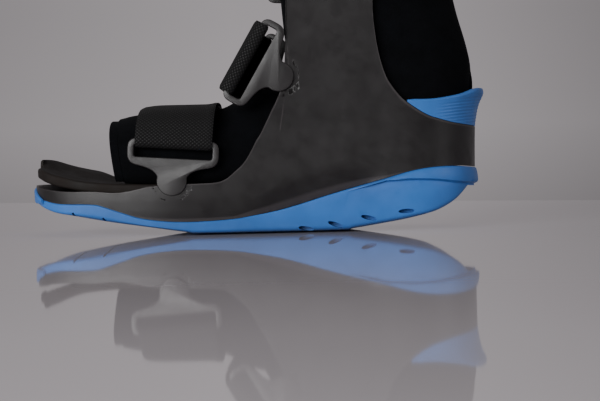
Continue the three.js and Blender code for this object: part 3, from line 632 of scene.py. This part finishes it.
def make_outsole():
    rings = []
    for p in stations(0, 1, 220):
        x = float(np.interp(p, plan_p, plan_points[:, 0]))
        near = []
        levels, low, rise = sole_levels(p, x)
        for z, outward in levels:
            px, py = plan_at(p, outward)
            near.append((px, -py, z))
        far = [(px, -py, z) for px, py, z in reversed(near)]
        low_x, low_y, _ = near[-1]
        reach = max(-low_y, 0.001)
        across = []
        for i in range(1, 24):
            y = low_y * (1 - i / 12)
            inward = reach - abs(y)
            slope = max(0.0, 1 - inward / CROWN_WIDTH) ** 2
            across.append((low_x, y, low + rise * slope))
        top_x, _, top_z = near[0]
        back = [(top_x, far[-1][1] * k, top_z) for k in (0.6, 0.2, -0.2, -0.6)]
        rings.append([*near, *across, *far, *back])
    sole = tube_object("outsole_look", rings, closed_ends=False)

    # Lip in front of the shell's toe
    lip_top = RIM[1][1] * RIM_HEIGHT
    lip_low = UNDERSIDE[0][1] * SOLE_HEIGHT + TOE_LIP * 0.6
    lip_end = p_of(along(0.03))
    sections = []
    for i in range(-14, 15):
        share = abs(i) / 14
        p = lip_end * share
        top = lip_top + (at(seam_line, along(0)) - 0.8 - lip_top) * share ** 1.6
        ring = []
        for out, z in (
            (GAP, lip_low), (TOE_LIP * 0.7, lip_low), (TOE_LIP, lip_low + 1.2), (TOE_LIP, top - 0.8),
            (TOE_LIP * 0.75, top - 0.2), (GAP + 0.2, top), (GAP, top - 0.3),
        ):
            lean = lean_at(min(z, SOLE_HEIGHT * 0.6))
            px, py = plan_at(p, out + lean)
            ring.append((px, math.copysign(py, i) if i else 0.0, z))
        sections.append(ring)
    lip = tube_object("lip", sections)
    cut(sole, lip, "UNION")

    for x, z, turn in SLITS:
        cut(sole, side_bar("slit", along(x), z * SOLE_HEIGHT - SLIT_LENGTH / 4, turn))
    for x, z, turn in NOTCHES:
        for side in (-1, 1):
            cut(sole, notch(along(x), z * SOLE_HEIGHT, turn, side))
    shade(sole, 38)
    finish_piece(sole, rubber, "sole_rubber", "outsole")
    return sole


def turned(u, v, turn):
    """A point of a side-view drawing, turned anticlockwise as seen from the near side."""
    angle = math.radians(turn)
    return u * math.cos(angle) - v * math.sin(angle), u * math.sin(angle) + v * math.cos(angle)


def prism(name, outline, low_y, high_y):
    """A side-view outline pushed from one distance to another across the boot."""
    count = len(outline)
    points = [(x, low_y, z) for x, z in outline] + [(x, high_y, z) for x, z in outline]
    faces = [tuple(range(count)), tuple(range(count, 2 * count))]
    for i in range(count):
        j = (i + 1) % count
        faces.append((i, j, j + count, i + count))
    return make_object(name, points, faces)


def side_bar(name, x, z, turn):
    """A slanted bar with a blunt point at its top, right across the boot."""
    half = SLIT_WIDTH / 2
    shoulder = SLIT_LENGTH * 0.5
    corners = [
        (-half, -SLIT_LENGTH), (half, -SLIT_LENGTH), (half, shoulder),
        (0, SLIT_LENGTH * 0.55), (-half, shoulder),
    ]
    outline = []
    for u, v in corners:
        du, dv = turned(u, v, turn)
        outline.append((x + du, z + dv))
    return prism(name, outline, -FAR_OUT, FAR_OUT)


def notch(x, z, turn, side):
    """A slanted lozenge with rounded tips that goes into the sole's side."""
    outline = []
    for i in range(20):
        angle = 2 * math.pi * i / 20
        u = NOTCH_LENGTH / 2 * math.copysign(abs(math.cos(angle)) ** 0.85, math.cos(angle))
        v = NOTCH_HEIGHT / 2 * math.sin(angle)
        du, dv = turned(u, v, turn)
        outline.append((x + du, z + dv))
    floor = half_width(x, lean_at(z)) - NOTCH_DEPTH
    if side < 0:
        return prism("notch", outline, -FAR_OUT, -floor)
    return prism("notch", outline, floor, FAR_OUT)


# Shell: tray, heel counter and uprights as one patch between the seam and the upper edge

def upper_edge():
    """The shell's upper edge in the side view, as dense points from the toe to the heel."""
    front_x = along(UPRIGHT_FRONT[0])
    back_x = along(UPRIGHT_BACK[0])
    arc = [math.pi / 2 * i / 8 for i in range(9)]
    corner = [(UPRIGHT_CORNER * (1 - math.cos(a)), UPRIGHT_CORNER * (1 - math.sin(a))) for a in arc]
    points = [tuple(point) for point in spline([(along(x), z * RIM_HEIGHT) for x, z in RIM], 10)]
    points.append((front_x, UPRIGHT_FRONT[1] * UPRIGHT_TOP))
    points.extend((front_x + run, UPRIGHT_TOP - rise) for run, rise in corner)
    points.extend((back_x - run, UPRIGHT_TOP - rise) for run, rise in reversed(corner))
    points.append((back_x, UPRIGHT_BACK[1] * UPRIGHT_TOP))
    points.extend(tuple(point) for point in spline([(along(x), z * COLLAR_HEIGHT) for x, z in COLLAR], 10))
    return np.array(points)


# Where each column of the patch stands: its foot on the seam, and its head on the upper edge near a point
SHELL_COLUMNS = [
    # foot x, head x, head height in millimetres
    (0, 0, 34), (0.415, 0.415, 34.6), (0.455, 0.478, 47), (0.48, 0.505, 61), (0.505, 0.542, 82),
    (0.53, 0.576, 107), (0.55, 0.576, 130), (0.575, 0.576, 180), (0.6, 0.578, 226), (0.62, 0.614, 235),
    (0.70, 0.723, 235), (0.73, 0.759, 226), (0.75, 0.761, 180), (0.765, 0.761, 146),
    (0.785, 0.769, 124), (0.81, 0.79, 101), (0.84, 0.83, 86), (0.876, 0.874, 77), (0.91, 0.91, 73),
    (1, 1, 69),
]

# Crease low on the shell's side, above which the wall stands out: x over the shell's length and its height
CREASE = [
    (0.455, 16), (0.5, 24.5), (0.55, 31.5), (0.6, 36.5), (0.645, 40.5), (0.69, 42.6), (0.73, 43.2),
    (0.765, 42.8), (0.79, 40.5),
]
CREASE_DEPTH = 3.0
LOW_ROWS = 5
HIGH_ROWS = 34
INNER_ROWS = 15
EDGE_ROUND = 0.7


def crease_at(x):
    share = (x - TOE_X) / SHELL_LENGTH
    places = [row[0] for row in CREASE]
    depth = CREASE_DEPTH * smoothstep(share, 0.45, 0.6) * (1 - smoothstep(share, 0.72, 0.795))
    height = float(np.interp(share, places, [row[1] for row in CREASE]))
    return height, depth


def shell_columns():
    """Foot and head of each column as places on the outline with their heights."""
    edge = upper_edge()
    run = np.concatenate([[0], np.cumsum(np.linalg.norm(np.diff(edge, axis=0), axis=1))])
    feet = []
    heads = []
    for foot, head_x, head_z in SHELL_COLUMNS:
        target = np.array((along(head_x), head_z))
        nearest = int(np.argmin(np.linalg.norm(edge - target, axis=1)))
        feet.append(p_of(along(foot)) if 0 < foot < 1 else float(foot))
        heads.append(run[nearest])
    start = int(np.argmin(np.abs(edge[:, 0] - TOE_X)))
    heads[0] = run[start]
    end = int(np.argmin(np.abs(edge[:, 0] - along(1)) + (edge[:, 1] > 75) * 100))
    heads[-1] = run[end]
    columns = []
    spans = len(feet) - 1
    for i in range(spans):
        length = max(heads[i + 1] - heads[i], (feet[i + 1] - feet[i]) * 520)
        count = max(2, int(round(length / 2.2)))
        for step in range(count):
            t = step / count
            columns.append((feet[i] + (feet[i + 1] - feet[i]) * t, heads[i] + (heads[i + 1] - heads[i]) * t))
    columns.append((feet[-1], heads[-1]))
    rim = line_of(RIM, RIM_HEIGHT)
    collar = line_of(COLLAR, COLLAR_HEIGHT)
    result = []
    for foot_p, head_run in columns:
        foot_x = float(np.interp(foot_p, plan_p, plan_points[:, 0]))
        head_x = float(np.interp(head_run, run, edge[:, 0]))
        head_z = float(np.interp(head_run, run, edge[:, 1]))
        head_p = p_of(head_x)
        if foot_x <= along(0.415):
            head_p = foot_p
            head_z = at(rim, foot_x)
        if foot_x >= along(0.91):
            head_p = foot_p
            head_z = at(collar, foot_x)
        result.append((foot_p, foot_x, at(seam_line, foot_x) + GAP, head_p, head_z))
    return result


def shell_rows(foot_p, foot_x, foot_z, head_p, head_z):
    """Places on the outline, heights and inward set of one column's outer wall, from its foot up."""
    crease_z, depth = crease_at(foot_x)
    crease_z = min(max(crease_z, foot_z + 1.2), foot_z + 0.6 * (head_z - foot_z))
    rows = []
    for row in range(LOW_ROWS + 1):
        z = foot_z + (crease_z - foot_z) * row / LOW_ROWS
        rows.append((z, depth * (1 - row / LOW_ROWS)))
    for row in range(1, HIGH_ROWS + 1):
        rows.append((crease_z + (head_z - crease_z) * row / HIGH_ROWS, 0.0))
    tall = head_z - foot_z
    return [(foot_p + (head_p - foot_p) * (z - foot_z) / tall, z, inward) for z, inward in rows]


def make_shell():
    """The wall as one body. The fast solver leaves specks here in place of clean pockets."""
    rings = []
    for foot_p, foot_x, foot_z, head_p, head_z in shell_columns():
        outer = shell_rows(foot_p, foot_x, foot_z, head_p, head_z)
        near = []
        for p, z, inward in outer:
            px, py = plan_at(p, lean_at(z) - inward)
            near.append((px, -py, z))
        floor_z = min(at(floor_line, foot_x), head_z - 1.2)
        low_p = foot_p + (head_p - foot_p) * (floor_z - foot_z) / (head_z - foot_z)
        for row in range(INNER_ROWS):
            share = row / (INNER_ROWS - 1)
            z = head_z + (floor_z - head_z) * share
            p = head_p + (low_p - head_p) * share
            px, py = plan_at(p, lean_at(z) - SHELL_WALL)
            near.append((px, -py, z))
        far = [(px, -py, z) for px, py, z in reversed(near)]
        inner_x, inner_y, inner_z = near[-1]
        across = [(inner_x, inner_y * k, inner_z) for k in (0.6, 0.2, -0.2, -0.6)]
        low_x, low_y, low_z = near[0]
        back = [(low_x, low_y * k, low_z) for k in (-0.6, -0.2, 0.2, 0.6)]
        rings.append([*near, *across, *far, *back])
    shell = tube_object("shell_look", rings, closed_ends=False)
    bevel(shell, EDGE_ROUND, 3, 50)
    for name in STRAPS:
        for side in (-1, 1):
            cut(shell, pocket_cutter(name, side), solver="FAST")
    shade(shell, 30)
    finish_piece(shell, plastic, "shell_plastic", "shell")
    return shell


# Strap rings

RING_HALF = STRAP_WIDTH / 2 + SLOT_CLEARANCE + RING_EAR
RING_TOP = PIVOT_TO_SLOT + SLOT_HEIGHT + RING_BAR
BAR_CENTRE = PIVOT_TO_SLOT + SLOT_HEIGHT + RING_BAR / 2
NECK_ANGLE = 12.0
RING_TAB_RISE = 1.3


def quadratic(a, b, c, count):
    return [tuple((1 - t) ** 2 * a[k] + 2 * t * (1 - t) * b[k] + t * t * c[k] for k in (0, 1))
            for t in (i / count for i in range(1, count + 1))]


def cubic(a, b, c, d, count):
    points = []
    for i in range(1, count + 1):
        t = i / count
        shares = ((1 - t) ** 3, 3 * t * (1 - t) ** 2, 3 * t * t * (1 - t), t ** 3)
        points.append(tuple(sum(s * p[k] for s, p in zip(shares, (a, b, c, d))) for k in (0, 1)))
    return points


def ring_outline(grow, tab_rise=0.0):
    """Outline of a strap ring about its post, with its bar at the top and its round tab raised a little."""
    half = RING_HALF + grow
    top = RING_TOP + grow
    low = SHOULDER_HEIGHT - grow
    radius = TAB_RADIUS + grow
    corner = RING_EAR * 1.5
    neck = math.radians(NECK_ANGLE)
    neck_x = radius * math.cos(neck)
    neck_y = radius * math.sin(neck)
    left = [(-half + corner, top)]
    left += quadratic(left[-1], (-half, top), (-half, top - corner), 5)
    left += [(-half, low + corner)]
    left += quadratic(left[-1], (-half, low), (-half + corner, low - corner / 6), 5)
    left += cubic(left[-1], (-neck_x - TAB_RADIUS * 0.9, low - corner / 3),
                  (-neck_x - corner / 3, neck_y + corner), (-neck_x, neck_y + tab_rise), 10)
    arc = []
    for i in range(1, 11):
        angle = math.pi - neck + (math.pi / 2 + neck) * i / 10
        arc.append((radius * math.cos(angle), radius * math.sin(angle) + tab_rise))
    half_outline = left + arc
    mirrored = [(-u, v) for u, v in reversed(half_outline[:-1])]
    return half_outline + mirrored


def slot_outline():
    half = STRAP_WIDTH / 2 + SLOT_CLEARANCE
    low = PIVOT_TO_SLOT
    high = PIVOT_TO_SLOT + SLOT_HEIGHT
    corner = 1.6
    points = []
    for centre_u, centre_v, start in (
        (half - corner, high - corner, 0), (-half + corner, high - corner, 90),
        (-half + corner, low + corner, 180), (half - corner, low + corner, 270),
    ):
        for i in range(5):
            angle = math.radians(start + 22.5 * i)
            points.append((centre_u + corner * math.cos(angle), centre_v + corner * math.sin(angle)))
    return points


def post_place(name):
    x, z, _, turn, _ = STRAPS[name]
    return along(x), z * UPRIGHT_TOP, turn


def pocket_floor(name):
    return half_width(along(STRAPS[name][2]), lean_at_model(post_place(name)[1])) - POCKET_DEPTH


def lean_at_model(z):
    """The wall's lean as the model has it, with straight runs between the table's rows."""
    share = z / UPRIGHT_TOP
    return column(LEAN, 1, share) * UPRIGHT_SPREAD - column(LEAN, 2, share) * SOLE_TUCK


def on_side(name, outline):
    """A drawing about a post, turned with its strap and placed in the side view."""
    x, z, turn = post_place(name)
    placed = []
    for u, v in outline:
        du, dv = turned(u, v, -turn)
        placed.append((x + du, z + dv))
    return placed


POCKET_REACH = 11.2


def pocket_cutter(name, side):
    outline = on_side(name, ring_outline(POCKET_CLEARANCE))
    floor = pocket_floor(name)
    if side < 0:
        return prism("pocket", outline, -floor - POCKET_REACH, -floor)
    return prism("pocket", outline, floor, floor + POCKET_REACH)


def make_ring(name, side):
    back = pocket_floor(name) + GAP
    low, high = (back, back + RING_THICKNESS) if side > 0 else (-back - RING_THICKNESS, -back)
    node = f"ring_{name}_{'near' if side < 0 else 'far'}"
    ring = prism(f"{node}_look", on_side(name, ring_outline(0, RING_TAB_RISE)), low, high)
    cut(ring, prism("slot", on_side(name, slot_outline()), -FAR_OUT, FAR_OUT))
    bevel(ring, 0.7, 3, 40)
    shade(ring, 40)
    finish_piece(ring, plastic, "shell_plastic", node)
    return ring


# Heel tab: flared collar with fine ribs towards its back

TAB_START = 0.835
RIB_PITCH = 2.1
RIB_DEPTH = 0.28


def flare_at(z, which):
    share = z / TAB_HEIGHT
    flare = TAB_FLARE if which == 1 else TAB_INNER_FLARE
    return smooth_column(FLARE, which, share, 0.02) * flare


def make_heel_tab():
    collar = spline([(along(cx), cz * COLLAR_HEIGHT + GAP) for cx, cz in COLLAR], 10)
    start = p_of(along(TAB_START))
    rings = []
    columns = 150
    for i in range(columns + 1):
        share = i / columns
        p = start + (1 - start) * (1 - abs(2 * share - 1))
        x = float(np.interp(p, plan_p, plan_points[:, 0]))
        low = float(np.interp(x, np.maximum.accumulate(collar[:, 0]), collar[:, 1]))
        high = max(at(tab_line, x), low + 0.4)
        ribbed = smoothstep((x - TOE_X) / SHELL_LENGTH, 0.88, 0.95) * RIB_DEPTH
        tall = high - low
        ring = []
        for row in range(61):
            z = low + tall * row / 60
            out = flare_at(z, 1)
            turns = (z - 0.12 * (x - along(0.9))) / RIB_PITCH
            rib = ribbed * (0.5 - 0.5 * math.cos(2 * math.pi * turns))
            fade = smoothstep(high - z, 1.5, 4.5) * smoothstep(z - low, 0.2, 1.5)
            px, py = plan_at(p, lean_at(z) - rib * fade, out)
            ring.append((px, py, z))
        top_inner = TAB_WALL * min(1.0, tall / 2.0)
        for step in range(1, 6):
            angle = math.radians(step * 30)
            z = high + min(1.3, tall * 0.3) * math.sin(angle)
            blend = 0.5 - 0.5 * math.cos(angle)
            flare = flare_at(high, 1) * (1 - blend) + flare_at(high, 2) * blend
            px, py = plan_at(p, lean_at(z) - top_inner * blend, flare)
            ring.append((px, py, z))
        for row in range(13):
            z = high + (low - high) * row / 12
            px, py = plan_at(p, lean_at(z) - top_inner, flare_at(z, 2))
            ring.append((px, py, z))
        side = -1 if share <= 0.5 else 1
        rings.append([(px, side * py, z) for px, py, z in ring])
    tab = tube_object("heel_tab_look", rings)
    shade(tab, 50)
    finish_piece(tab, rubber, "sole_rubber", "heel_tab")
    return tab


# Insole: foam sheet with rounded edges, whose toe end curls up

INSOLE_TWIST = 5.6
INSOLE_EDGE = 1.8


def insole_lift(x):
    return smooth_column(INSOLE_LIFT, 1, (x - TOE_X) / SHELL_LENGTH, 0.012) * INSOLE_TIP_LIFT


def insole_twist(x, y, half):
    """How much more the toe end curls up towards the far side."""
    share = (x - TOE_X) / SHELL_LENGTH
    across = min(max(y / max(half, 1.0), -1.0), 1.0)
    return INSOLE_TWIST * smoothstep(across, -0.7, 1.0) * (1 - smoothstep(share, 0.11, 0.195))


def make_insole():
    rings = []
    for p in stations(0, 1, 150):
        x = float(np.interp(p, plan_p, plan_points[:, 0]))
        share = (x - TOE_X) / SHELL_LENGTH
        inset = INSOLE_INSET + SHELL_WALL * smoothstep(share, 0.02, 0.09)
        inset += 0.6 * smoothstep(share, 0.05, 0.1)
        bottom = at(floor_line, x) + GAP + insole_lift(x)
        top = bottom + INSOLE_THICKNESS
        round_edge = INSOLE_EDGE
        near = []
        for step in range(5):
            angle = math.radians(step * 22.5)
            near.append((round_edge * (1 - math.sin(angle)), bottom + round_edge * (1 - math.cos(angle))))
        for step in range(5):
            angle = math.radians(step * 22.5)
            near.append((round_edge * (1 - math.cos(angle)), top - round_edge * (1 - math.sin(angle))))
        ring_near = []
        for inward, z in near:
            px, py = plan_at(p, lean_at(z) - inset - inward)
            ring_near.append((px, -py, z))
        ring_far = [(px, -py, z) for px, py, z in reversed(ring_near)]
        top_x, top_y, top_z = ring_near[-1]
        low_x, low_y, low_z = ring_near[0]
        over = []
        for i in range(1, 12):
            y = top_y * (1 - i / 6)
            dish = 0.9 * (1 - (y / top_y) ** 2) if abs(top_y) > 1 else 0.0
            over.append((top_x, y, top_z - dish * smoothstep(share, 0.01, 0.1)))
        under = [(low_x, -low_y * (1 - i / 6), low_z) for i in range(1, 12)]
        ring = [*ring_near, *over, *ring_far, *under]
        half = abs(ring_near[4][1])
        rings.append([(px, py, pz + insole_twist(px, py, half)) for px, py, pz in ring])
    insole = tube_object("insole_look", rings, closed_ends=False)
    shade(insole, 60)
    finish_piece(insole, foam, "insole_foam", "insole")
    return insole


# Soft tubes of the liner

def signed_power(value, power):
    return math.copysign(abs(value) ** power, value)


def room_at(x, z):
    return half_width(x, lean_at(z) - SHELL_WALL - LINER_GAP)


def insole_top(x):
    return at(floor_line, x) + INSOLE_THICKNESS + GAP * 2


def foot_section(x, inset, sides=96):
    """A ring of the liner's foot part at one place, drawn in by an inset."""
    share = (x - TOE_X) / SHELL_LENGTH
    top = smooth_column(LINER_FOOT, 1, share, 0.012) * INSTEP_HEIGHT - inset
    bottom = insole_top(x)
    low = bottom - INSOLE_THICKNESS / 2
    middle = low + (top - low) * 0.4
    half = room_at(x, SOLE_HEIGHT * 1.2) * smooth_column(LINER_FOOT, 2, share, 0.012) - inset
    lean = TOE_LEAN * (1 - smoothstep(share, LINER_FOOT[0][0], 0.45))
    points = []
    for i in range(sides):
        angle = 2 * math.pi * i / sides
        cos, sin = math.cos(angle), math.sin(angle)
        power = 0.86 if sin > 0 else 0.5
        y = half * signed_power(cos, power)
        reach = top - middle if sin > 0 else middle - low
        z = middle + reach * signed_power(sin, power)
        z = max(z, bottom + inset)
        points.append((x - lean * (z - middle), y, z))
    return points


def leg_section(share, inset, sides=96):
    """A ring of the liner's leg part at one height."""
    z = share * LINER_TOP
    front = along(smooth_column(LINER_LEG, 1, share, 0.03)) + inset
    back = along(smooth_column(LINER_LEG, 2, share, 0.03)) - inset
    centre = (front + back) / 2
    half = (back - front) / 2
    wide = room_at(along(0.64), z)
    points = []
    for i in range(sides):
        angle = 2 * math.pi * i / sides
        x = centre + half * signed_power(math.cos(angle), 0.84)
        y = wide * abs(math.sin(angle)) ** 0.84
        clear = max(0.0, min(y, room_at(x, z)) - inset) if inset or y else 0.0
        points.append((x, math.copysign(clear, math.sin(angle)), max(z, insole_top(x) + inset)))
    return points


def foot_object(name, first, last, inset, step=3.0):
    count = max(2, int(round((last - first) / step)))
    rings = [foot_section(first + (last - first) * i / count, inset) for i in range(count + 1)]
    return tube_object(name, rings)


def leg_object(name, low, high, inset, step=3.0):
    count = max(2, int(round((high - low) * LINER_TOP / step)))
    rings = [leg_section(low + (high - low) * i / count, inset) for i in range(count + 1)]
    return tube_object(name, rings)


LINER_FRONT = along(LINER_FOOT[0][0])
FOOT_END = along(0.68)


def make_liner():
    liner = foot_object("liner_look", LINER_FRONT, FOOT_END, 0.0)
    cut(liner, leg_object("leg", 0.18, 1.0, 0.0), "UNION")
    hollow = foot_object("hollow", LINER_FRONT - 8.0, FOOT_END, LINER_PADDING)
    cut(hollow, leg_object("leg_room", 0.2, 1.03, LINER_PADDING), "UNION")
    cut(liner, hollow)
    shade(liner, 60)
    finish_piece(liner, fabric, "liner_fabric", "liner")
    return liner


def make_toe_binding():
    end = LINER_FRONT - GAP
    binding = foot_object("toe_binding_look", end - BINDING_LENGTH, end, BINDING_INSET, 1.0)
    cut(binding, foot_object("room", end - BINDING_LENGTH - 2, end + 2, LINER_PADDING, 1.0))
    shade(binding, 60)
    finish_piece(binding, fabric, "liner_fabric", "toe_binding")
    return binding


# Straps: one closed band of webbing from ring to ring, round both bars

LAYER = 1.9
LOOP_HALF_Y = RING_THICKNESS / 2 + GAP + LAYER / 2
LOOP_HALF_V = RING_BAR / 2 + GAP + LAYER / 2


def crown_at(name, u):
    """Height of the band's middle over the rings' bars, u behind the strap's middle."""
    x, z, turn = post_place(name)
    given = STRAPS[name][4]
    if given is not None:
        return given
    place = x + u + TOE_LEAN * SOLE_HEIGHT
    seat = smooth_column(LINER_FOOT, 1, (place - TOE_X) / SHELL_LENGTH, 0.012) * INSTEP_HEIGHT
    angle = math.radians(turn)
    return seat + GAP * 2 + STRAP_THICKNESS / 2 - (z + BAR_CENTRE * math.cos(angle) - u * math.sin(angle))


def band_path(name, u, samples=72):
    """Middle line of the two layers, as across and up, from the near bar to the far one."""
    crown = crown_at(name, u)
    reach = pocket_floor(name) + GAP + RING_THICKNESS / 2
    half = [(share * reach, BAR_CENTRE + rise * crown) for share, rise in STRAP_PATH]
    points = half + [(0.0, BAR_CENTRE + crown)] + [(-y, v) for y, v in reversed(half)]
    dense = spline(points, 20)
    run = np.concatenate([[0], np.cumsum(np.linalg.norm(np.diff(dense, axis=0), axis=1))])
    places = np.linspace(0, run[-1], samples)
    return np.stack([np.interp(places, run, dense[:, k]) for k in (0, 1)], axis=1), run[-1], reach


def band_loop(name, u):
    """The closed line of the band in the strap's own plane: outer layer, far bar, inner layer, near bar."""
    line, length, reach = band_path(name, u)
    tangent = np.gradient(line, axis=0)
    tangent /= np.linalg.norm(tangent, axis=1)[:, None]
    normal = np.stack([tangent[:, 1], -tangent[:, 0]], axis=1)
    from_bar = np.minimum(np.linalg.norm(line - line[0], axis=1), np.linalg.norm(line - line[-1], axis=1))
    closing = np.array([smoothstep(distance, 1.0, 9.0) for distance in from_bar])
    apart = LOOP_HALF_Y + (LAYER / 2 + 0.06 - LOOP_HALF_Y) * closing
    outer = line + normal * apart[:, None]
    inner = line - normal * apart[:, None]
    caps = []
    for centre, side in ((line[-1], -1), (line[0], 1)):
        cap = []
        for i in range(1, 10):
            angle = math.pi * i / 10
            across = centre[0] + side * LOOP_HALF_Y * math.cos(angle)
            cap.append((across, centre[1] - LOOP_HALF_V * math.sin(angle)))
        caps.append(np.array(cap))
    return np.concatenate([outer, caps[0], inner[::-1], caps[1][::-1]]), length


def make_strap(name):
    x, z, turn = post_place(name)
    angle = math.radians(turn)
    stations_u = np.linspace(-STRAP_WIDTH / 2, STRAP_WIDTH / 2, 27)
    loops = []
    for u in stations_u:
        loop, length = band_loop(name, float(u))
        loops.append(loop)
    loops = np.array(loops)
    count = loops.shape[1]
    ahead = np.roll(loops, -1, axis=1) - np.roll(loops, 1, axis=1)
    ahead /= np.linalg.norm(ahead, axis=2)[:, :, None]
    outward = np.stack([ahead[:, :, 1], -ahead[:, :, 0]], axis=2)
    points = []
    weave = []
    run = np.concatenate([[0], np.cumsum(np.linalg.norm(np.diff(loops[13], axis=0), axis=1))])
    sheets = ((1, range(len(stations_u))), (-1, reversed(range(len(stations_u)))))
    for sign, order in sheets:
        for k in order:
            u = stations_u[k]
            edge = 1 - smoothstep(abs(u), STRAP_WIDTH / 2 - 1.6, STRAP_WIDTH / 2)
            thick = LAYER / 2 * (0.35 + 0.65 * edge)
            for j in range(count):
                y, v = loops[k, j] + outward[k, j] * sign * thick
                points.append((x + u * math.cos(angle) + v * math.sin(angle),
                               y,
                               z - u * math.sin(angle) + v * math.cos(angle)))
                weave.append((u, run[j]))
    rows = 2 * len(stations_u)
    faces = quad_grid(rows, count, wrap_columns=True, wrap_rows=True)
    mesh = bpy.data.meshes.new(f"strap_{name}_look")
    mesh.from_pydata([((px + SHIFT) * MM, py * MM, pz * MM) for px, py, pz in points], [], faces)
    layer = mesh.uv_layers.new(name="weave")
    loop_vertices = np.empty(len(mesh.loops), dtype=np.int32)
    mesh.loops.foreach_get("vertex_index", loop_vertices)
    uvs = np.array(weave, dtype=np.float32)[loop_vertices]
    layer.data.foreach_set("uv", uvs.ravel())
    obj = bpy.data.objects.new(f"strap_{name}_look", mesh)
    bpy.context.scene.collection.objects.link(obj)
    bm = bmesh.new()
    bm.from_mesh(mesh)
    bmesh.ops.recalc_face_normals(bm, faces=bm.faces)
    bm.to_mesh(mesh)
    bm.free()
    shade(obj, 60)
    finish_piece(obj, webbing, "strap_webbing", f"strap_{name}")
    return obj


# Stage: pale floor, soft world, lights and camera

ROOM_LOW = -0.1
ROOM_HIGH = 0.4
ROOM_TINT = (1.0, 0.93, 0.965)
ROOM_LEVELS = [
    # sine of the height over the horizon, brightness
    (-0.1, 0.2), (-0.04, 0.315), (0.02, 0.405), (0.1, 0.365), (0.4, 0.33),
]
ROOM_FRONT = 0.5


def make_stage():
    mesh = bpy.data.meshes.new("floor")
    half = 1.4
    middle_back = 0.554
    slant = -0.375
    front = -4.0
    corners = [
        (-half, front, 0), (half, front, 0),
        (half, middle_back + slant * half, 0), (-half, middle_back - slant * half, 0),
    ]
    mesh.from_pydata(corners, [], [(0, 1, 2, 3)])
    floor = bpy.data.objects.new("floor", mesh)
    bpy.context.scene.collection.objects.link(floor)
    m = Finish("floor_white")
    m.shader.inputs["Base Color"].default_value = (0.50, 0.465, 0.485, 1)
    m.shader.inputs["Roughness"].default_value = 0.035
    m.shader.inputs["Specular IOR Level"].default_value = 0.5
    mesh.materials.append(m.material)



def make_world():
    """Soft room light: by height, a little darker to the sides, and darker behind the camera."""
    world = bpy.data.worlds.new("studio")
    bpy.context.scene.world = world
    world.use_nodes = True
    room = Nodes(world.node_tree)
    background = room.tree.nodes["Background"]
    coordinates = room.add("ShaderNodeTexCoord").outputs["Generated"]
    direction = room.add("ShaderNodeSeparateXYZ", {"Vector": coordinates})
    level = room.span(direction.outputs["Z"], ROOM_LOW, ROOM_HIGH, 0.0, 1.0)
    reach = ROOM_HIGH - ROOM_LOW
    stops = [((z - ROOM_LOW) / reach, shade_of(ROOM_TINT, value)) for z, value in ROOM_LEVELS]
    room.tree.links.new(room.ramp(level, stops), background.inputs["Color"])
    left = room.span(direction.outputs["X"], -0.22, -0.05, 0.77, 1.0)
    right = room.span(direction.outputs["X"], 0.06, 0.22, 1.0, 0.64)
    front = room.span(direction.outputs["Y"], -0.2, 0.1, ROOM_FRONT, 1.0)
    sides = room.math("MULTIPLY", left, right)
    room.tree.links.new(room.math("MULTIPLY", sides, front), background.inputs["Strength"])


def area_light(name, place, target, size, power, colour=(1, 1, 1)):
    light = bpy.data.lights.new(name, "AREA")
    light.shape = "RECTANGLE"
    light.size, light.size_y = size
    light.energy = power
    light.color = colour
    obj = bpy.data.objects.new(name, light)
    bpy.context.scene.collection.objects.link(obj)
    obj.location = place
    obj.rotation_euler = (Vector(target) - Vector(place)).to_track_quat("-Z", "Y").to_euler()


def make_lights():
    area_light("top_box", (0.0, -0.1, 1.5), (0.0, 0.0, 0.1), (1.6, 1.2), 1.5)
    area_light("front_left", (-0.95, -1.6, 0.5), (0.0, 0.0, 0.1), (1.4, 0.8), 40)
    area_light("right", (1.5, -0.9, 0.7), (0.05, 0.0, 0.12), (0.8, 1.0), 5)


def make_camera():
    camera_data = bpy.data.cameras.new("camera")
    camera_data.sensor_width = 36.0
    camera_data.lens = 80.4
    camera_data.clip_start = 0.01
    camera = bpy.data.objects.new("camera", camera_data)
    bpy.context.scene.collection.objects.link(camera)
    place = Vector((0.0272, -0.925, 0.0524))
    target = Vector((0.0272, 0.0, 0.0201))
    turn = (target - place).to_track_quat("-Z", "Y").to_matrix().to_4x4()
    roll = Matrix.Rotation(math.radians(-1.05), 4, "Z")
    camera.matrix_world = Matrix.Translation(place) @ turn @ roll
    bpy.context.scene.camera = camera


make_stage()
make_world()
make_lights()
make_camera()
make_outsole()
make_shell()
for strap_name in STRAPS:
    for ring_side in (-1, 1):
        make_ring(strap_name, ring_side)
    make_strap(strap_name)
make_heel_tab()
make_insole()
make_liner()
make_toe_binding()
